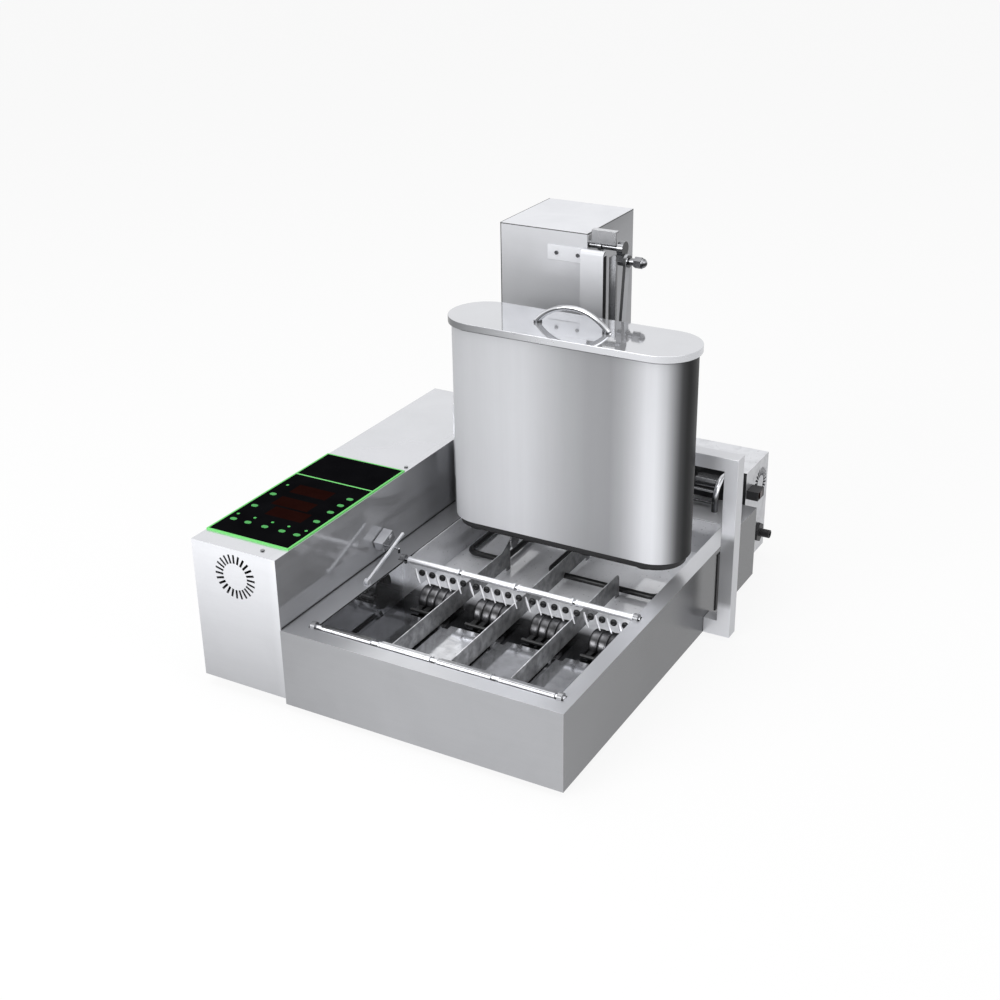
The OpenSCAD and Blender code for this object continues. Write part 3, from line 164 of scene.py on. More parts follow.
def link(name, mesh):
    thing = bpy.data.objects.new(name, mesh)
    scene.collection.objects.link(thing)
    return thing


def soften(node, width, body="machine", segments=2, angle=38):
    """Copies a folded or milled piece and rounds its sharp edges by width metres."""
    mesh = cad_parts[node].data.copy()
    bm = bmesh.new()
    bm.from_mesh(mesh)
    bmesh.ops.remove_doubles(bm, verts=bm.verts, dist=2e-6)
    bmesh.ops.dissolve_limit(bm, angle_limit=math.radians(0.8), verts=bm.verts, edges=bm.edges)
    for face in bm.faces:
        face.smooth = True
    bm.to_mesh(mesh)
    bm.free()
    for layer in ("custom_normal", "sharp_edge"):
        if layer in mesh.attributes:
            mesh.attributes.remove(mesh.attributes[layer])
    mesh.set_sharp_from_angle(angle=math.radians(angle))
    mesh.materials.clear()
    piece = link(node + "_piece", mesh)
    edge = piece.modifiers.new("bends", "BEVEL")
    edge.width = width
    edge.segments = segments
    edge.limit_method = "ANGLE"
    edge.angle_limit = math.radians(angle)
    edge.harden_normals = True
    edge.use_clamp_overlap = True
    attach(piece, body)
    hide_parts(node)
    return piece


def group(name, inputs, outputs):
    """An empty node group with named sockets, with its input and output nodes."""
    made = bpy.data.node_groups.new(name, "ShaderNodeTree")
    for label, kind, value in inputs:
        socket = made.interface.new_socket(label, in_out="INPUT", socket_type=kind)
        if value is not None:
            socket.default_value = value
    for label, kind in outputs:
        made.interface.new_socket(label, in_out="OUTPUT", socket_type=kind)
    return made, made.nodes.new("NodeGroupInput"), made.nodes.new("NodeGroupOutput")


# Brushing: long fine scratches along one axis, with slow changes of shade between them.
brushing, entry, leave = group(
    "brushing",
    [("Vector", "NodeSocketVector", None), ("Stretch", "NodeSocketVector", (40, 900, 900)),
     ("Depth", "NodeSocketFloat", 0.5)],
    [("Shade", "NodeSocketFloat"), ("Height", "NodeSocketFloat")])
spread = put(brushing, "ShaderNodeVectorMath", {0: entry.outputs["Vector"], 1: entry.outputs["Stretch"]},
             operation="MULTIPLY")
fine = put(brushing, "ShaderNodeTexNoise", {"Vector": spread.outputs[0], "Scale": 1.0, "Detail": 3.0})
broad = put(brushing, "ShaderNodeVectorMath", {0: spread.outputs[0], "Scale": 0.13}, operation="SCALE")
broad = put(brushing, "ShaderNodeTexNoise", {"Vector": broad.outputs[0], "Scale": 1.0, "Detail": 2.0})
both = maths(brushing, "ADD", fine.outputs["Fac"], broad.outputs["Fac"])
even = maths(brushing, "ADD", both, -1.0)
deep = maths(brushing, "MULTIPLY", even, entry.outputs["Depth"])
brushing.links.new(maths(brushing, "ADD", deep, 1.0), leave.inputs["Shade"])
brushing.links.new(fine.outputs["Fac"], leave.inputs["Height"])

# Handling: cloudy smears and a few small spots, as wiped steel has.
handling, entry, leave = group(
    "handling",
    [("Vector", "NodeSocketVector", None), ("Size", "NodeSocketFloat", 14.0),
     ("Low", "NodeSocketFloat", 0.42)],
    [("Smear", "NodeSocketFloat"), ("Spots", "NodeSocketFloat")])
cloud = put(handling, "ShaderNodeTexNoise",
            {"Vector": entry.outputs["Vector"], "Scale": entry.outputs["Size"], "Detail": 5.0,
             "Distortion": 0.6})
smear = put(handling, "ShaderNodeMapRange", {0: cloud.outputs["Fac"], 1: entry.outputs["Low"], 2: 0.72})
dots = put(handling, "ShaderNodeTexNoise", {"Vector": entry.outputs["Vector"], "Scale": 260.0, "Detail": 1.0})
spots = put(handling, "ShaderNodeMapRange", {0: dots.outputs["Fac"], 1: 0.68, 2: 0.76})
handling.links.new(smear.outputs[0], leave.inputs["Smear"])
handling.links.new(spots.outputs[0], leave.inputs["Spots"])

# Facing: tells the walls that face right and the faces that look up from the rest, for the tones that paint
# light and shade on them and for their roughness.
facing, entry, leave = group(
    "facing", [("Normal", "NodeSocketVector", None)],
    [("Right", "NodeSocketFloat"), ("Up", "NodeSocketFloat")])
parts = put(facing, "ShaderNodeSeparateXYZ", {0: entry.outputs["Normal"]})
turned = put(facing, "ShaderNodeMapRange", {0: parts.outputs["X"], 1: 0.55, 2: 0.85})
upward = put(facing, "ShaderNodeMapRange", {0: parts.outputs["Z"], 1: 0.55, 2: 0.85})
facing.links.new(turned.outputs[0], leave.inputs["Right"])
facing.links.new(upward.outputs[0], leave.inputs["Up"])

# Shade line: a fine dark line painted along one plane of the piece, as the shade of a bend or of an overhang.
shade_line, entry, leave = group(
    "shade_line",
    [("Place", "NodeSocketFloat", None), ("At", "NodeSocketFloat", 0.0), ("Half", "NodeSocketFloat", 0.001)],
    [("Mask", "NodeSocketFloat")])
away = maths(shade_line, "SUBTRACT", entry.outputs["Place"], entry.outputs["At"])
away = maths(shade_line, "ABSOLUTE", away)
shade_line.links.new(maths(shade_line, "LESS_THAN", away, entry.outputs["Half"]), leave.inputs["Mask"])


def cool(tone):
    """The faintly blue grey of stainless steel."""
    return (tone, tone * 1.012, tone * 1.055, 1)


def run_of(tree, where, tone):
    """A plain tone, or one that changes along an axis: (axis, (place, tone), (place, tone), ...)."""
    if not isinstance(tone, tuple):
        return cool(tone)
    stops = tone[1:]
    low, high = stops[0][0], stops[-1][0]
    run = put(tree, "ShaderNodeMapRange", {0: where.outputs[tone[0]], 1: low, 2: high})
    ramp = put(tree, "ShaderNodeValToRGB", {0: run.outputs[0]})
    marks = ramp.color_ramp.elements
    while len(marks) < len(stops):
        marks.new(0.5)
    for mark, (place, level) in zip(marks, stops):
        mark.position = (place - low) / (high - low)
    for mark, (place, level) in zip(marks, stops):
        mark.color = cool(level)
    return ramp.outputs["Color"]


def slope(tree, where, run):
    """A value that changes along an axis: (axis, (place, value), (place, value))."""
    axis, (start, before), (stop, after) = run
    sockets = {0: where.outputs[axis], 1: start, 2: stop, 3: before, 4: after}
    return put(tree, "ShaderNodeMapRange", sockets).outputs[0]


shade_line_flat, shade_line_depth = 0.3, 0.85


def steel(name, front, right=None, up=None, metal=0.7, rough=0.3, grain=(40, 900, 900), depth=0.06,
          bump=0.05, smear=0.05, spots=0.0, up_rough=None, right_rough=None, shade_lines=(), cloud=14.0,
          low=0.42, gloss=0.5, painted_light_slope=None):
    """Stainless sheet: tones for its front, right and upper faces, plain or changing along an axis, which
    paint the light and shade that fall on them; brushing, smears and painted shade lines. metal is a number
    or a slope. shade_lines is a list of (axis, place, half width), each a painted dark line on the faces that
    cross it. painted_light_slope is a slope of painted light and shade."""
    made, tree, shine = blank(name)
    place = put(tree, "ShaderNodeTexCoord")
    where = put(tree, "ShaderNodeSeparateXYZ", {0: place.outputs["Object"]})
    shine.inputs["Specular IOR Level"].default_value = gloss
    if isinstance(metal, tuple):
        tree.links.new(slope(tree, where, metal), shine.inputs["Metallic"])
    else:
        shine.inputs["Metallic"].default_value = metal
    # Painted light and shade: the faces turned right and the faces looking up take their own tones.
    look = put(tree, "ShaderNodeGroup", {"Normal": place.outputs["Normal"]}, node_tree=facing)
    colour = run_of(tree, where, front)
    for mask, tone in (("Right", right), ("Up", up)):
        if tone is not None:
            sockets = {"Factor": look.outputs[mask], 6: colour, 7: run_of(tree, where, tone)}
            colour = put(tree, "ShaderNodeMix", sockets, data_type="RGBA").outputs[2]
    sockets = {"Vector": place.outputs["Object"], "Stretch": grain, "Depth": depth}
    lines = put(tree, "ShaderNodeGroup", sockets, node_tree=brushing)
    sockets = {"Vector": place.outputs["Object"], "Size": cloud, "Low": low}
    wiped = put(tree, "ShaderNodeGroup", sockets, node_tree=handling)
    tone = maths(tree, "MULTIPLY_ADD", wiped.outputs["Smear"], -smear, 1.0)
    tone = maths(tree, "MULTIPLY", tone, lines.outputs["Shade"])
    if spots:
        speck = maths(tree, "MULTIPLY_ADD", wiped.outputs["Spots"], -spots, 1.0)
        tone = maths(tree, "MULTIPLY", tone, speck)
    # Painted light and shade: the tone is scaled along an axis.
    if painted_light_slope:
        tone = maths(tree, "MULTIPLY", tone, slope(tree, where, painted_light_slope))
    # Painted shade lines: each darkens a fine line on the faces that cross it.
    if shade_lines:
        angle = put(tree, "ShaderNodeSeparateXYZ", {0: place.outputs["Normal"]})
    for axis, spot, half in shade_lines:
        sockets = {"Place": where.outputs[axis], "At": spot, "Half": half}
        mark = put(tree, "ShaderNodeGroup", sockets, node_tree=shade_line)
        flat = maths(tree, "LESS_THAN", maths(tree, "ABSOLUTE", angle.outputs[axis]), shade_line_flat)
        dark = maths(tree, "MULTIPLY", mark.outputs[0], flat)
        dark = maths(tree, "MULTIPLY_ADD", dark, -shade_line_depth, 1.0)
        tone = maths(tree, "MULTIPLY", tone, dark)
    base = colour[:3] if isinstance(colour, tuple) else colour
    colour = put(tree, "ShaderNodeVectorMath", {0: base, "Scale": tone}, operation="SCALE")
    tree.links.new(colour.outputs[0], shine.inputs["Base Color"])
    dull = maths(tree, "MULTIPLY_ADD", wiped.outputs["Smear"], 0.08, rough)
    for mask, amount in (("Up", up_rough), ("Right", right_rough)):
        if amount is not None:
            sockets = {"Factor": look.outputs[mask], 2: dull, 3: amount}
            dull = put(tree, "ShaderNodeMix", sockets, data_type="FLOAT").outputs[0]
    tree.links.new(dull, shine.inputs["Roughness"])
    sockets = {"Height": lines.outputs["Height"], "Strength": bump, "Distance": 0.0004}
    ridge = put(tree, "ShaderNodeBump", sockets)
    tree.links.new(ridge.outputs[0], shine.inputs["Normal"])
    return made


def coat(piece, material):
    """Gives a new piece, or a CAD node by its name, its material."""
    if isinstance(piece, str):
        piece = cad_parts[piece]
    if not piece.material_slots:
        piece.data.materials.append(None)
    for slot in piece.material_slots:
        slot.material = material
    return piece


# Tank: painted light and shade: the front lighter towards the right, the right wall darker towards the back,
# and the top of the rim lighter than the front.
tank_steel = steel("tank_steel", ("X", (-0.148, 0.33), (0.0, 0.4), (0.238, 0.41)),
                   right=("Y", (-0.338, 0.2), (-0.1, 0.14), (0.25, 0.12)),
                   up=("X", (-0.148, 0.5), (-0.118, 0.5), (-0.06, 0.5), (0.0, 0.64), (0.2, 0.7),
                       (0.237, 0.6)),
                   rough=0.32, grain=(25, 25, 900), depth=0.04, smear=0.05, bump=0.01, up_rough=0.3,
                   right_rough=0.26)
coat(soften("tank_shell", 0.0012), tank_steel)

# Painted shade strips: a thin black strip on the tank's right wall behind the leg of the gate, and a thin one
# along the side of the control box, where it meets the tank's rim. Both are dark sheets that stand for the
# shade in these gaps.
leg_shade_place, leg_shade_size = (0.2384, 0.1125, 0.0625), (0.0016, 0.011, 0.085)
rim_shade_place, rim_shade_size = (-0.1477, -0.052, 0.1138), (0.0012, 0.565, 0.0016)
strip_round = 0.0005
shade_strip_mesh = bpy.data.meshes.new("gate_shade_strips")
bm = bmesh.new()
for centre, size in ((leg_shade_place, leg_shade_size), (rim_shade_place, rim_shade_size)):
    bmesh.ops.create_cube(bm, size=1, matrix=Matrix.Translation(centre) @ Matrix.Diagonal((*size, 1)))
bmesh.ops.bevel(bm, geom=bm.edges[:], offset=strip_round, segments=2, affect="EDGES")
bm.to_mesh(shade_strip_mesh)
bm.free()
gate_shade_strips = link("gate_shade_strips", shade_strip_mesh)
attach(gate_shade_strips, "machine")

# Oil pan: bright steel let into the tank, with small dark spots.
# The floor is a mirror in front of the turner and pale and plain behind it; its tone is painted, dark in
# front as painted shade and nearly white behind as painted light in the shade under the hopper, and its walls
# that face right are painted lighter.
pan_steel = steel("pan_steel", 0.6, right=0.75,
                  up=("Y", (-0.32, 0.1), (-0.095, 0.07), (-0.075, 0.98), (0.25, 0.98)),
                  metal=("Y", (-0.13, 0.95), (-0.09, 0.12)), rough=0.06, grain=(300, 30, 300),
                  depth=0.05, smear=0.12, spots=0.3, up_rough=0.05, right_rough=0.03, bump=0.01,
                  cloud=22.0)
coat(soften("oil_pan", 0.0006), pan_steel)

# Feet: six round pads of black rubber under the tank.
# The black strips of painted shade by the gate's leg and along the control box, and the black band of painted
# shade under the hopper, take the same black.


def ramp_of(tree, factor, first, last, between=()):
    """A colour ramp with its two end colours and the (place, colour) stops between them."""
    ramp = put(tree, "ShaderNodeValToRGB", {0: factor})
    marks = ramp.color_ramp.elements
    for spot, colour in between:
        marks.new(spot).color = colour
    marks[0].color = first
    marks[-1].color = last
    return ramp.outputs[0]


rubber, tree, shine = blank("rubber")
place = put(tree, "ShaderNodeTexCoord")
grit = put(tree, "ShaderNodeTexNoise", {"Vector": place.outputs["Object"], "Scale": 900.0, "Detail": 4.0})
colour = ramp_of(tree, grit.outputs["Fac"], (0.012, 0.012, 0.013, 1), (0.04, 0.04, 0.042, 1))
tree.links.new(colour, shine.inputs["Base Color"])
shine.inputs["Roughness"].default_value = 0.75
ridge = put(tree, "ShaderNodeBump", {"Height": grit.outputs["Fac"], "Strength": 0.25, "Distance": 0.0005})
tree.links.new(ridge.outputs[0], shine.inputs["Normal"])
coat(soften("rubber_feet", 0.0012), rubber)
coat(gate_shade_strips, rubber)

# Lane dividers: cut plates of mottled steel that stand on edge in the pan.
# Small feet hold them a little above the pan's floor.
# The dividers' right faces are painted lighter at the front and darker behind, and their tops lighter, as
# painted light and shade.
plate_steel = steel("plate_steel", 0.3,
                    right=("Y", (-0.31, 0.5), (-0.2, 0.36), (-0.12, 0.22), (-0.06, 0.28), (0.02, 0.22)),
                    up=0.85, metal=0.2, rough=0.35, grain=(90, 90, 90), depth=1.3, smear=0.5, spots=0.3,
                    bump=0.1, cloud=85.0, low=0.36)
coat(soften("left_divider", 0.0003), plate_steel)
coat(soften("plain_dividers", 0.0003), plate_steel)

# Heating tubes: two bent rods, blackened by use, let in through the rear wall of the pan.
# They lie over the pan's floor in two loops.
burnt_and_shade_steel = steel("burnt_and_shade_steel", 0.03, metal=0.5, rough=0.35, grain=(200, 200, 200), depth=0.6, smear=0.4,
                    spots=0.4)
coat("heater_tubes", burnt_and_shade_steel)

# Turner: a bright shaft with four tubes and their collars. Below each is a scoop of curved
# crowned strips of thin sheet, joined to a dark bar along the lower edge.


def painted_chrome(name, tone, dark, rough=0.08, smear=0.12):
    """Polished bar with painted reflections: painted bright where it looks up, with a painted dark band at
    its waist.
    """
    made, tree, shine = blank(name)
    shine.inputs["Metallic"].default_value = 1.0
    place = put(tree, "ShaderNodeTexCoord")
    angle = put(tree, "ShaderNodeSeparateXYZ", {0: place.outputs["Normal"]})
    turn = put(tree, "ShaderNodeMapRange", {0: angle.outputs["Z"], 1: -1.0, 2: 1.0})
    painted_bands = ((0.3, tone * 0.6), (0.4, dark), (0.6, dark * 1.6), (0.68, tone), (0.82, tone),
             (0.9, tone * 0.35))
    painted_shades = ramp_of(tree, turn.outputs[0], cool(tone * 0.5), cool(tone * 0.85),
                     [(spot, cool(level)) for spot, level in painted_bands])
    sockets = {"Vector": place.outputs["Object"], "Size": 40.0}
    wiped = put(tree, "ShaderNodeGroup", sockets, node_tree=handling)
    shade = maths(tree, "MULTIPLY_ADD", wiped.outputs["Smear"], -smear, 1.0)
    colour = put(tree, "ShaderNodeVectorMath", {0: painted_shades, "Scale": shade}, operation="SCALE")
    tree.links.new(colour.outputs[0], shine.inputs["Base Color"])
    dull = maths(tree, "MULTIPLY_ADD", wiped.outputs["Smear"], 0.1, rough)
    tree.links.new(dull, shine.inputs["Roughness"])
    return made


# Bright steel: its right faces and tops are painted a little lighter, as painted light.
bright_steel = steel("bright_steel", 0.8, right=0.85, up=0.95, metal=0.6, rough=0.3,
                     grain=(30, 200, 200), depth=0.1, smear=0.12, cloud=40.0)
# Plated steel for the shaft, the pins, the bent tube and the handle, with painted reflections.
plated = painted_chrome("plated", 0.75, 0.06)
coat("turner_shaft", plated)
coat("turner_tubes", bright_steel)
# The bushes' tops are painted lighter and their right faces darker, as painted light and shade.
bush_steel = steel("bush_steel", 0.22, right=0.2, up=0.3, rough=0.3, grain=(200, 200, 200), depth=0.3)
coat("shaft_bushes", bush_steel)
lane_count, lane_pitch, first_lane = 4, 0.0822, -0.0696
lanes = [first_lane + number * lane_pitch for number in range(lane_count)]
turner_y, turner_z = -0.1091, 0.113
strips, strip_pitch, strip_width, strip_crown, strip_parts = 4, 0.0118, 0.0112, 0.0011, 8
arc_y, arc_z, arc_r, arc_start, arc_turn, arc_steps = -0.0080, -0.0452, 0.0182, -20, 222, 18
shift, scoop_sheet = 0.0135, 0.001
strip_places = [lane + shift + (number - (strips - 1) / 2) * strip_pitch
                for lane in lanes for number in range(strips)]
corners = ((0, 0), (1, 0), (1, 1), (0, 1))

bm = bmesh.new()
across = bm.loops.layers.uv.new("across")
for middle in strip_places:
    rows = []
    for step in range(arc_steps + 1):
        turn = math.radians(arc_start + arc_turn * step / arc_steps)
        row = []
        for part in range(strip_parts + 1):
            u = part / strip_parts
            reach = arc_r - strip_crown * (2 * u - 1) ** 6
            row.append(bm.verts.new((middle + (u - 0.5) * strip_width,
                                     turner_y + arc_y + reach * math.cos(turn),
                                     turner_z + arc_z + reach * math.sin(turn))))
        rows.append(row)
    for step in range(arc_steps):
        for part in range(strip_parts):
            face = bm.faces.new([rows[step + b][part + a] for a, b in corners])
            face.smooth = True
            for loop, (a, b) in zip(face.loops, corners):
                loop[across].uv = ((part + a) / strip_parts, (step + b) / arc_steps)
scoop_mesh = bpy.data.meshes.new("scoops")
bm.to_mesh(scoop_mesh)
bm.free()
scoops = link("scoops", scoop_mesh)
thick = scoops.modifiers.new("sheet", "SOLIDIFY")
thick.thickness = scoop_sheet
thick.offset = -1
# The scoops' tone is painted light and shade: bands along the arc, dark under the shaft and at the foot, and
# across each strip dark edges with a painted highlight near one edge.
scoop_steel, tree, shine = blank("scoop_steel")
shine.inputs["Metallic"].default_value = 1.0
place = put(tree, "ShaderNodeTexCoord")
where = put(tree, "ShaderNodeSeparateXYZ", {0: place.outputs["UV"]})
painted_bands = ((0.3, 0.02), (0.45, 0.06), (0.6, 0.2), (0.7, 0.06), (0.8, 0.16), (0.92, 0.05))
along = ramp_of(tree, where.outputs["Y"], (0.02, 0.02, 0.021, 1), (0.008, 0.008, 0.008, 1),
                [(spot, (tone, tone, tone * 1.05, 1)) for spot, tone in painted_bands])
edge = (0.05, 0.05, 0.05, 1)
painted_bands = ((0.1, 0.7), (0.18, 1.0), (0.82, 0.75), (0.92, 1.5))
groove_painted_shade = ramp_of(tree, where.outputs["X"], edge, edge,
                 [(spot, (tone, tone, tone, 1)) for spot, tone in painted_bands])
wiped = put(tree, "ShaderNodeGroup", {"Vector": place.outputs["Object"], "Size": 60.0}, node_tree=handling)
tone = maths(tree, "MULTIPLY_ADD", wiped.outputs["Smear"], -0.75, 1.0)
colour = put(tree, "ShaderNodeVectorMath", {0: along, "Scale": tone}, operation="SCALE")
colour = put(tree, "ShaderNodeVectorMath", {0: colour.outputs[0], 1: groove_painted_shade}, operation="MULTIPLY")
tree.links.new(colour.outputs[0], shine.inputs["Base Color"])
tree.links.new(maths(tree, "MULTIPLY_ADD", wiped.outputs["Smear"], 0.2, 0.32), shine.inputs["Roughness"])
scoop_mesh.materials.append(scoop_steel)
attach(scoops, "turner")
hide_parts("turner_combs")

# Lower bars of the scoops: one dark round bar in each lane.
# A short flat tab at the lower edge of each strip joins it to its bar.
bar_r, bar_length, bar_sides = 0.0024, 0.046, 20
bar_x, bar_y, bar_z = 0.009, turner_y - 0.0385, turner_z - 0.048
tab_y, tab_z = turner_y - 0.031, turner_z - 0.0465
tab_size = (strip_width * 0.6, 0.013, 0.0016, 1)
bm = bmesh.new()
for number, lane in enumerate(lanes):
    bmesh.ops.create_cone(bm, cap_ends=True, segments=bar_sides, radius1=bar_r, radius2=bar_r,
                          depth=bar_length, matrix=Matrix.Translation((lane + bar_x, bar_y, bar_z))
                          @ Matrix.Rotation(math.radians(90), 4, "Y"))
    for x in strip_places[number * strips:(number + 1) * strips]:
        bmesh.ops.create_cube(bm, size=1, matrix=Matrix.Translation((x, tab_y, tab_z))
                              @ Matrix.Diagonal(tab_size))
for face in bm.faces:
    face.smooth = len(face.verts) == 4
bar_mesh = bpy.data.meshes.new("scoop_bars")
bm.to_mesh(bar_mesh)
bm.free()
bar_mesh.set_sharp_from_angle(angle=math.radians(40))
bars = coat(link("scoop_bars", bar_mesh), burnt_and_shade_steel)
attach(bars, "turner")

# Teeth and eyelets: short slanted bright teeth below the shaft, with a dark ring beside each.
# The last lane has one pair fewer, because the pan's right wall is next to it.
lane_teeth = (5, 5, 5, 4)
tooth_start, tooth_pitch = 0.0264, 0.0157
tooth_places = [lane - tooth_start + number * tooth_pitch
                for lane, count in zip(lanes, lane_teeth) for number in range(count)]
tooth_steps, tooth_lean, tooth_bow, tooth_t = 12, 0.0085, 0.0008, 0.0008
tooth_y, tooth_z, tooth_back, tooth_drop = turner_y - 0.0045, turner_z - 0.0075, 0.004, 0.0175
tooth_half, tooth_swell = 0.0009, 0.0011
bm = bmesh.new()
for tooth_x in tooth_places:
    rows = []
    for step in range(tooth_steps + 1):
        t = step / tooth_steps
        x = tooth_x + tooth_lean * t - tooth_bow * math.sin(math.pi * t)
        y, z = tooth_y - tooth_back * t, tooth_z - tooth_drop * t
        half = tooth_half + tooth_swell * math.sin(math.pi * t)
        rows.append([bm.verts.new(spot) for spot in (
            (x - half, y, z), (x, y - tooth_t, z), (x + half, y, z), (x, y + tooth_t, z))])
    for low_row, high_row in zip(rows, rows[1:]):
        for part in range(4):
            after = (part + 1) % 4
            bm.faces.new((low_row[part], low_row[after], high_row[after], high_row[part]))
    bm.faces.new(rows[0])
    bm.faces.new(rows[-1][::-1])
bmesh.ops.recalc_face_normals(bm, faces=bm.faces[:])
tooth_mesh = bpy.data.meshes.new("teeth")
bm.to_mesh(tooth_mesh)
bm.free()
teeth = coat(link("teeth", tooth_mesh), bright_steel)
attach(teeth, "turner")

eyelet_x, eyelet_y, eyelet_z = 0.0086, turner_y - 0.003, turner_z - 0.0125
eyelet_r, eyelet_wire, around, section = 0.0025, 0.0022, 16, 8
bm = bmesh.new()
for tooth_x in tooth_places:
    x = tooth_x + eyelet_x
    ring = []
    for a in range(around):
        turn = 2 * math.pi * a / around
        loop = []
        for b in range(section):
            roll = 2 * math.pi * b / section
            reach = eyelet_r + eyelet_wire * math.cos(roll)
            loop.append(bm.verts.new((x + reach * math.cos(turn), eyelet_y + eyelet_wire * math.sin(roll),
                                      eyelet_z + reach * math.sin(turn))))
        ring.append(loop)
    for a in range(around):
        for b in range(section):
            one, two, after = ring[a], ring[(a + 1) % around], (b + 1) % section
            face = bm.faces.new((one[b], two[b], two[after], one[after]))
            face.smooth = True
eyelet_mesh = bpy.data.meshes.new("eyelets")
bm.to_mesh(eyelet_mesh)
bm.free()
eyelets = coat(link("eyelets", eyelet_mesh), burnt_and_shade_steel)
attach(eyelets, "turner")

# Trip drive: a polished block on the motor's shaft, its bent pin, and the lever it lifts.
# The block and the lever have slightly rounded edges, and the pin is plated.
# The block's right side is painted dark and its top light, as painted shade and light.
block_steel = steel("block_steel", 0.75, right=0.3, up=0.9, metal=0.7, rough=0.1, grain=(80, 80, 80),
                    depth=0.2, smear=0.2, bump=0.02)
coat(soften("crank_block", 0.0006, "trip_crank"), block_steel)
coat("crank_pins", plated)
coat("lever_pivot", bright_steel)
coat(soften("trip_lever", 0.0004, "lever"), bright_steel)

# Front rod and its four pick-up plates, which tip the rings out of the pan.
# The plates are folded from thin sheet.
coat(soften("discharge_rod", 0.0003, "discharge"), bright_steel)
# The plates' upper faces are painted lane by lane as painted reflections: dark in the first lane, bright in
# the second and mid grey in the last two; their right faces are painted a little darker.
tray_steel = steel("tray_steel", 0.6, right=0.5,
                   up=("X", (-0.114, 0.13), (-0.029, 0.16), (-0.028, 0.72), (0.053, 0.72),
                       (0.054, 0.36), (0.217, 0.4)),
                   metal=0.8, rough=0.08, grain=(70, 70, 70), depth=0.35, smear=0.25, spots=0.3,
                   bump=0.01, cloud=60.0)
coat(soften("discharge_plates", 0.0004, "discharge"), tray_steel)

# Toothed wheel: cut from dull sheet, in the second lane.
# It turns freely on a stud in the raised arm of the left divider.
coat("star_wheel", plate_steel)

# Control box cover: bright brushed sheet with a ring of slots. Its side towards the pan is
# nearly a mirror. It closes over a plain bottom tray.
# The cover's front is painted lighter towards the top and its right side darker, as painted light and shade.
cover_steel = steel("cover_steel", ("Z", (0.015, 0.44), (0.1, 0.6), (0.2, 0.84)),
                    right=("Y", (-0.337, 0.36), (-0.2, 0.42), (0.23, 0.34)), up=0.69,
                    metal=("X", (-0.16, 0.7), (-0.15, 0.4)), grain=(30, 30, 700), depth=0.04,
                    smear=0.04, up_rough=0.22, right_rough=0.09)
coat(soften("control_box_cover", 0.0012), cover_steel)
tray_under = steel("tray_under", 0.45, rough=0.4)
coat("box_bases", tray_under)

# Panel: black gloss film with a green line round it and one across it.
# It lies on top of the control box cover.
low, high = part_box("control_panel")
rim_width, bar_place, bar_half = 0.0024, -0.1235, 0.0013
panel_film, tree, shine = blank("panel_film")
place = put(tree, "ShaderNodeTexCoord")
where = put(tree, "ShaderNodeSeparateXYZ", {0: place.outputs["Object"]})
edges = []
for axis, start, stop in (("X", low.x, high.x), ("Y", low.y, high.y)):
    centre, half = (start + stop) / 2, (stop - start) / 2
    away = maths(tree, "ABSOLUTE", maths(tree, "ADD", where.outputs[axis], -centre))
    edges.append(maths(tree, "SUBTRACT", half, away))
rim = maths(tree, "LESS_THAN", maths(tree, "MINIMUM", edges[0], edges[1]), rim_width)
away = maths(tree, "ABSOLUTE", maths(tree, "ADD", where.outputs["Y"], -bar_place))
line = maths(tree, "MAXIMUM", rim, maths(tree, "LESS_THAN", away, bar_half))
dust = put(tree, "ShaderNodeTexNoise", {"Vector": place.outputs["Object"], "Scale": 30.0, "Detail": 4.0})
black = ramp_of(tree, dust.outputs["Fac"], (0.002, 0.002, 0.0025, 1), (0.006, 0.006, 0.007, 1))
colour = put(tree, "ShaderNodeMix", {"Factor": line, 6: black, 7: (0.2, 0.66, 0.2, 1)}, data_type="RGBA")
tree.links.new(colour.outputs[2], shine.inputs["Base Color"])
tree.links.new(maths(tree, "MULTIPLY_ADD", dust.outputs["Fac"], 0.12, 0.2), shine.inputs["Roughness"])
shine.inputs["Specular IOR Level"].default_value = 0.0
coat("control_panel", panel_film)

# Windows, keys and lamps of the panel: dark red windows, oval green keys and six small green
# lamps, all let into the panel.


def plastic(name, dark, light, rough, size=600.0, bump=0.1, specular=0.4):
    """Moulded plastic or enamel with a fine grain and a slight change of shade."""
    made, tree, shine = blank(name)
    place = put(tree, "ShaderNodeTexCoord")
    grit = put(tree, "ShaderNodeTexNoise", {"Vector": place.outputs["Object"], "Scale": size, "Detail": 3.0})
    tree.links.new(ramp_of(tree, grit.outputs["Fac"], (*dark, 1), (*light, 1)), shine.inputs["Base Color"])
    dull = maths(tree, "MULTIPLY_ADD", grit.outputs["Fac"], 0.15, rough)
    tree.links.new(dull, shine.inputs["Roughness"])
    shine.inputs["Specular IOR Level"].default_value = specular
    ridge = put(tree, "ShaderNodeBump", {"Height": grit.outputs["Fac"], "Strength": bump, "Distance": 0.0003})
    tree.links.new(ridge.outputs[0], shine.inputs["Normal"])
    return made


window_red = plastic("window_red", (0.009, 0.0025, 0.002), (0.016, 0.0045, 0.0035), 0.3, size=60.0, bump=0.0,
                     specular=0.0)
coat("display_windows", window_red)
key_film = plastic("key_film", (0.04, 0.22, 0.05), (0.1, 0.5, 0.13), 0.35, size=900.0, specular=0.1)
for number in range(1, 12):
    coat("key_%d" % number, key_film)
lamp_green = plastic("lamp_green", (0.05, 0.35, 0.07), (0.1, 0.6, 0.12), 0.2, size=300.0, bump=0.0,
                     specular=0.1)
coat("indicator_leds", lamp_green)

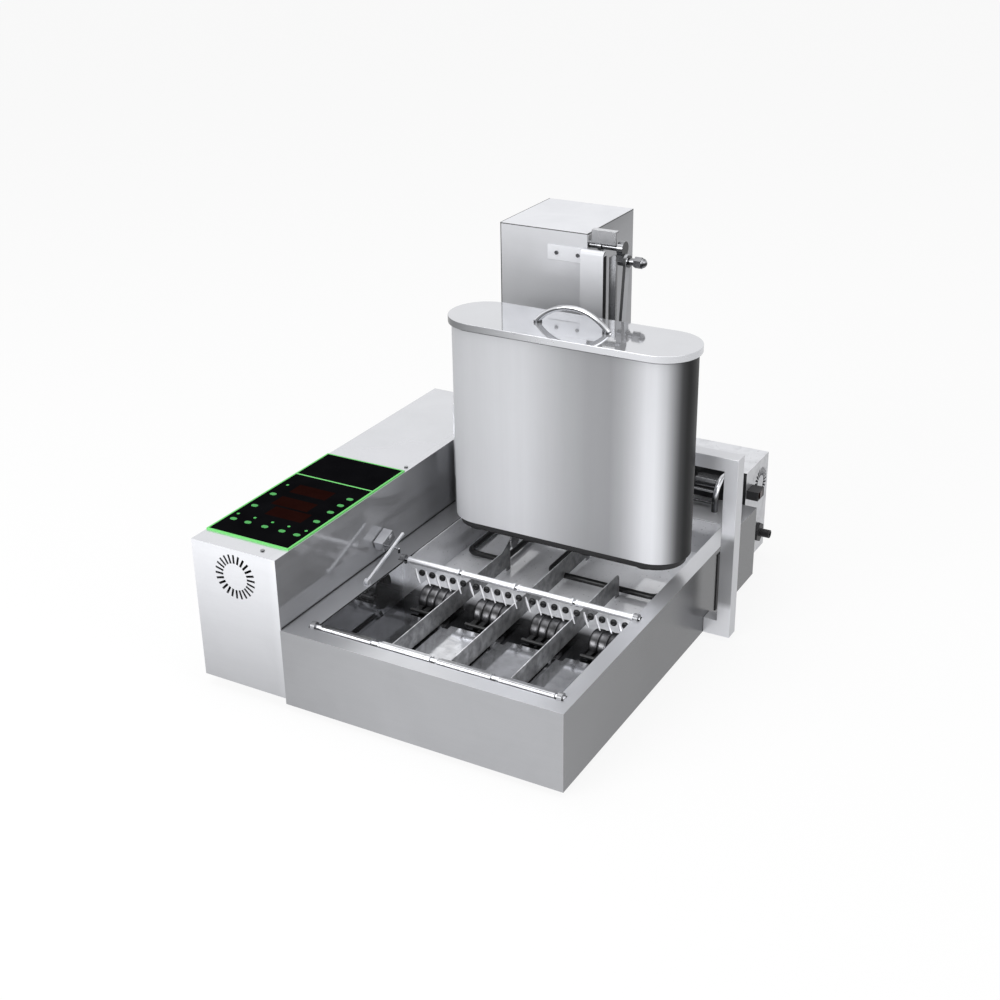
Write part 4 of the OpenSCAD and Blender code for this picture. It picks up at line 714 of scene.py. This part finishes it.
# What the closed boxes hold: the board, the gear motors and the two fans.
# The motors are enamelled, and the fans and their frames are moulded in black plastic.
coat("circuit_board", plastic("board_mask", (0.01, 0.10, 0.03), (0.02, 0.2, 0.06), 0.35, size=220.0))
motor_enamel = plastic("motor_enamel", (0.05, 0.05, 0.055), (0.09, 0.09, 0.1), 0.35, size=500.0)
coat("turner_motor", motor_enamel)
coat("dosing_motor", motor_enamel)
black_plastic = plastic("black_plastic", (0.01, 0.01, 0.011), (0.03, 0.03, 0.032), 0.4)
for node in ("fan_frames", "control_fan", "rear_fan"):
    coat(node, black_plastic)

# Gate: a pressed steel channel that spans the tank and carries the hopper.
# Its right leg stands outside the tank, in front of the black strip of painted shade on the tank's wall.
# The front is painted as light and shade: painted light at the foot, in the tank's shadow, dark in the middle
# and lighter at the top.
gate_steel = steel("gate_steel", ("Z", (0.02, 0.85), (0.05, 0.85), (0.06, 0.4), (0.15, 0.26),
                                  (0.16, 0.6), (0.265, 0.64)),
                   right=0.54, up=0.66, metal=0.45, rough=0.3, grain=(30, 30, 600), depth=0.02,
                   smear=0.02, bump=0.0, right_rough=0.4)
coat(soften("gate_frame", 0.0008), gate_steel)

# Rear box: a folded cover with a ring of slots. The mains switch and the cable gland, of black
# plastic, are on its right side. Steel rails and a bent tube stand in front of it.
# Its front face is painted nearly black, as painted shade, and its sides and top lighter.
rear_steel = steel("rear_steel", ("Y", (0.2545, 0.03), (0.262, 0.5)), right=0.5, up=0.75,
                   grain=(30, 30, 700), depth=0.08, smear=0.15, spots=0.3, cloud=60.0)
coat(soften("rear_box_cover", 0.001), rear_steel)
coat(soften("mains_switch", 0.0006), black_plastic)
switch_key = plastic("switch_key", (0.012, 0.006, 0.006), (0.05, 0.02, 0.02), 0.3)
coat(soften("switch_rocker", 0.0004, "rocker_switch"), switch_key)
coat(soften("cable_gland", 0.0006), black_plastic)
# The rails' tops are painted lighter than their sides, as painted light.
rail_steel = steel("rail_steel", 0.12, right=0.1, up=0.5, metal=0.9, rough=0.2, grain=(30, 300, 300))
coat(soften("terminal_rails", 0.0004), rail_steel)
coat("conduit", plated)

# Tower: a plain folded box over the dosing motor, on its deck.
# The bent guide cover and the guard are fixed to it, and the crank's shaft comes out of its
# right side.
low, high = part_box("tower_housing")
shade_line_inset, shade_line_half = 0.0010, 0.0007
# Painted light and shade: the front darker towards the bottom, the right side darker towards the top, and
# fine dark lines painted along the top and left edges of the front, as the shade of the bends.
tower_steel = steel("tower_steel", ("Z", (0.40, 0.33), (0.44, 0.4), (0.475, 0.49), (0.505, 0.55)),
                    right=("Z", (0.36, 0.35), (0.46, 0.36), (0.505, 0.28)), up=0.74, metal=0.3,
                    rough=0.42, grain=(30, 30, 700), depth=0.04,
                    shade_lines=[("Z", high.z - shade_line_inset, shade_line_half), ("X", low.x + shade_line_inset, shade_line_half)])
coat(soften("tower_housing", 0.0012), tower_steel)
coat(soften("tower_deck", 0.0006), tank_steel)
# The guide cover is painted darker towards the bottom and its right side nearly black, as painted shade.
cover_sheet = steel("cover_sheet", ("Z", (0.37, 0.26), (0.42, 0.4), (0.46, 0.6), (0.486, 0.7)),
                    right=0.02, up=0.8, metal=0.1, rough=0.45, gloss=0.1, grain=(30, 30, 700),
                    depth=0.03)
coat(soften("guide_cover", 0.0003), cover_sheet)
# The guard is painted lighter towards the top, darker on its right side and lighter on top, as painted light
# and shade.
guard_steel = steel("guard_steel", ("Z", (0.494, 0.2), (0.512, 0.34)), right=0.16, up=0.6, metal=0.6,
                    rough=0.25, grain=(30, 30, 700), depth=0.06)
coat(soften("shaft_guard", 0.0003), guard_steel)
# The crank and the screws are polished, with painted reflections.
crank_steel = painted_chrome("crank_steel", 0.36, 0.03, rough=0.22)
for node in ("crank_shaft", "crank_arm"):
    coat(node, crank_steel)
screw_steel = painted_chrome("screw_steel", 0.4, 0.03, rough=0.25)
coat("cover_screws", screw_steel)
# The rod's front is painted nearly black and its right side lighter towards the top, as painted shade and
# light.
rod_steel = steel("rod_steel", 0.05, right=("Z", (0.36, 0.4), (0.48, 0.48)), up=0.6, metal=0.1,
                  rough=0.4, gloss=0.1, grain=(30, 30, 700), depth=0.03)
coat(soften("connecting_rod", 0.0005, "rod"), rod_steel)
coat("dosing_rocker", burnt_and_shade_steel)

# Hopper: a tall oval vessel of brushed sheet; its tone changes in upright bands of painted reflection, it is
# painted lighter towards its foot, and a painted dark line of shade runs just under the lid.
# Two blocks at its back join it to the gate.
low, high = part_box("hopper_lid")
lip_drop, lip_half = 0.0012, 0.0009
hopper_steel = steel("hopper_steel", (
    "X", (-0.102, 0.43), (-0.057, 0.51), (-0.02, 0.56), (0.005, 0.58), (0.022, 0.57), (0.05, 0.48),
    (0.08, 0.38), (0.11, 0.31), (0.142, 0.285), (0.158, 0.36), (0.174, 0.49), (0.189, 0.64),
    (0.201, 0.68), (0.212, 0.53), (0.2205, 0.27), (0.2265, 0.07), (0.2318, 0.01), (0.2337, 0.02)),
    metal=0.08, rough=0.42, gloss=0.12, painted_light_slope=("Z", (0.144, 1.22), (0.42, 0.92)), grain=(900, 900, 25),
    depth=0.04, smear=0.015, bump=0.02, shade_lines=[("Z", low.z - lip_drop, lip_half)])
coat(soften("hopper", 0.0008), hopper_steel)

# Painted shade band: a black oval band under the hopper, round the spouts, that stands for the shade under
# it.
# It is a little smaller than the hopper all round.
shade_band_x, shade_band_y, straight = 0.0658, 0.0161, 0.1232
shade_band_out, shade_band_in, shade_band_low, shade_band_high, shade_band_steps = 0.0385, 0.0370, 0.1330, 0.1440, 64
bm = bmesh.new()
loops = []
for reach, z in ((shade_band_out, shade_band_high), (shade_band_out, shade_band_low), (shade_band_in, shade_band_low),
                 (shade_band_in, shade_band_high)):
    loop = []
    for step in range(shade_band_steps):
        turn = 2 * math.pi * (step + 0.5) / shade_band_steps
        side = straight if math.cos(turn) > 0 else -straight
        x, y = shade_band_x + side + reach * math.cos(turn), shade_band_y + reach * math.sin(turn)
        loop.append(bm.verts.new((x, y, z)))
    loops.append(loop)
for number in range(4):
    one, two = loops[number], loops[(number + 1) % 4]
    for step in range(shade_band_steps):
        after = (step + 1) % shade_band_steps
        face = bm.faces.new((one[step], one[after], two[after], two[step]))
        face.smooth = number % 2 == 0
bmesh.ops.recalc_face_normals(bm, faces=bm.faces[:])
shade_band_mesh = bpy.data.meshes.new("hopper_shade_band")
bm.to_mesh(shade_band_mesh)
bm.free()
shade_band = coat(link("hopper_shade_band", shade_band_mesh), rubber)
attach(shade_band, "machine")

# Lid and spouts: a bright flat lid with a lip and a bow handle of polished rod, and below the
# hopper the plate with its four spouts and the sleeves that slide on them, painted dark as shade under the
# hopper.
# The lid's band is painted darker towards its left end, as painted shade.
lid_steel = steel("lid_steel", ("X", (-0.1, 0.12), (0.06, 0.6), (0.2, 0.7), (0.235, 0.6)), up=0.65,
                  rough=0.25, grain=(25, 900, 900), depth=0.02, smear=0.03, bump=0.01, up_rough=0.05)
coat(soften("hopper_lid", 0.0012, "lid"), lid_steel)
coat("lid_handle", plated)
coat("nozzle_plate", burnt_and_shade_steel)
coat("sleeve_carriage", burnt_and_shade_steel)

# Bounds of the dressed scene, without the floor.
low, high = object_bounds()
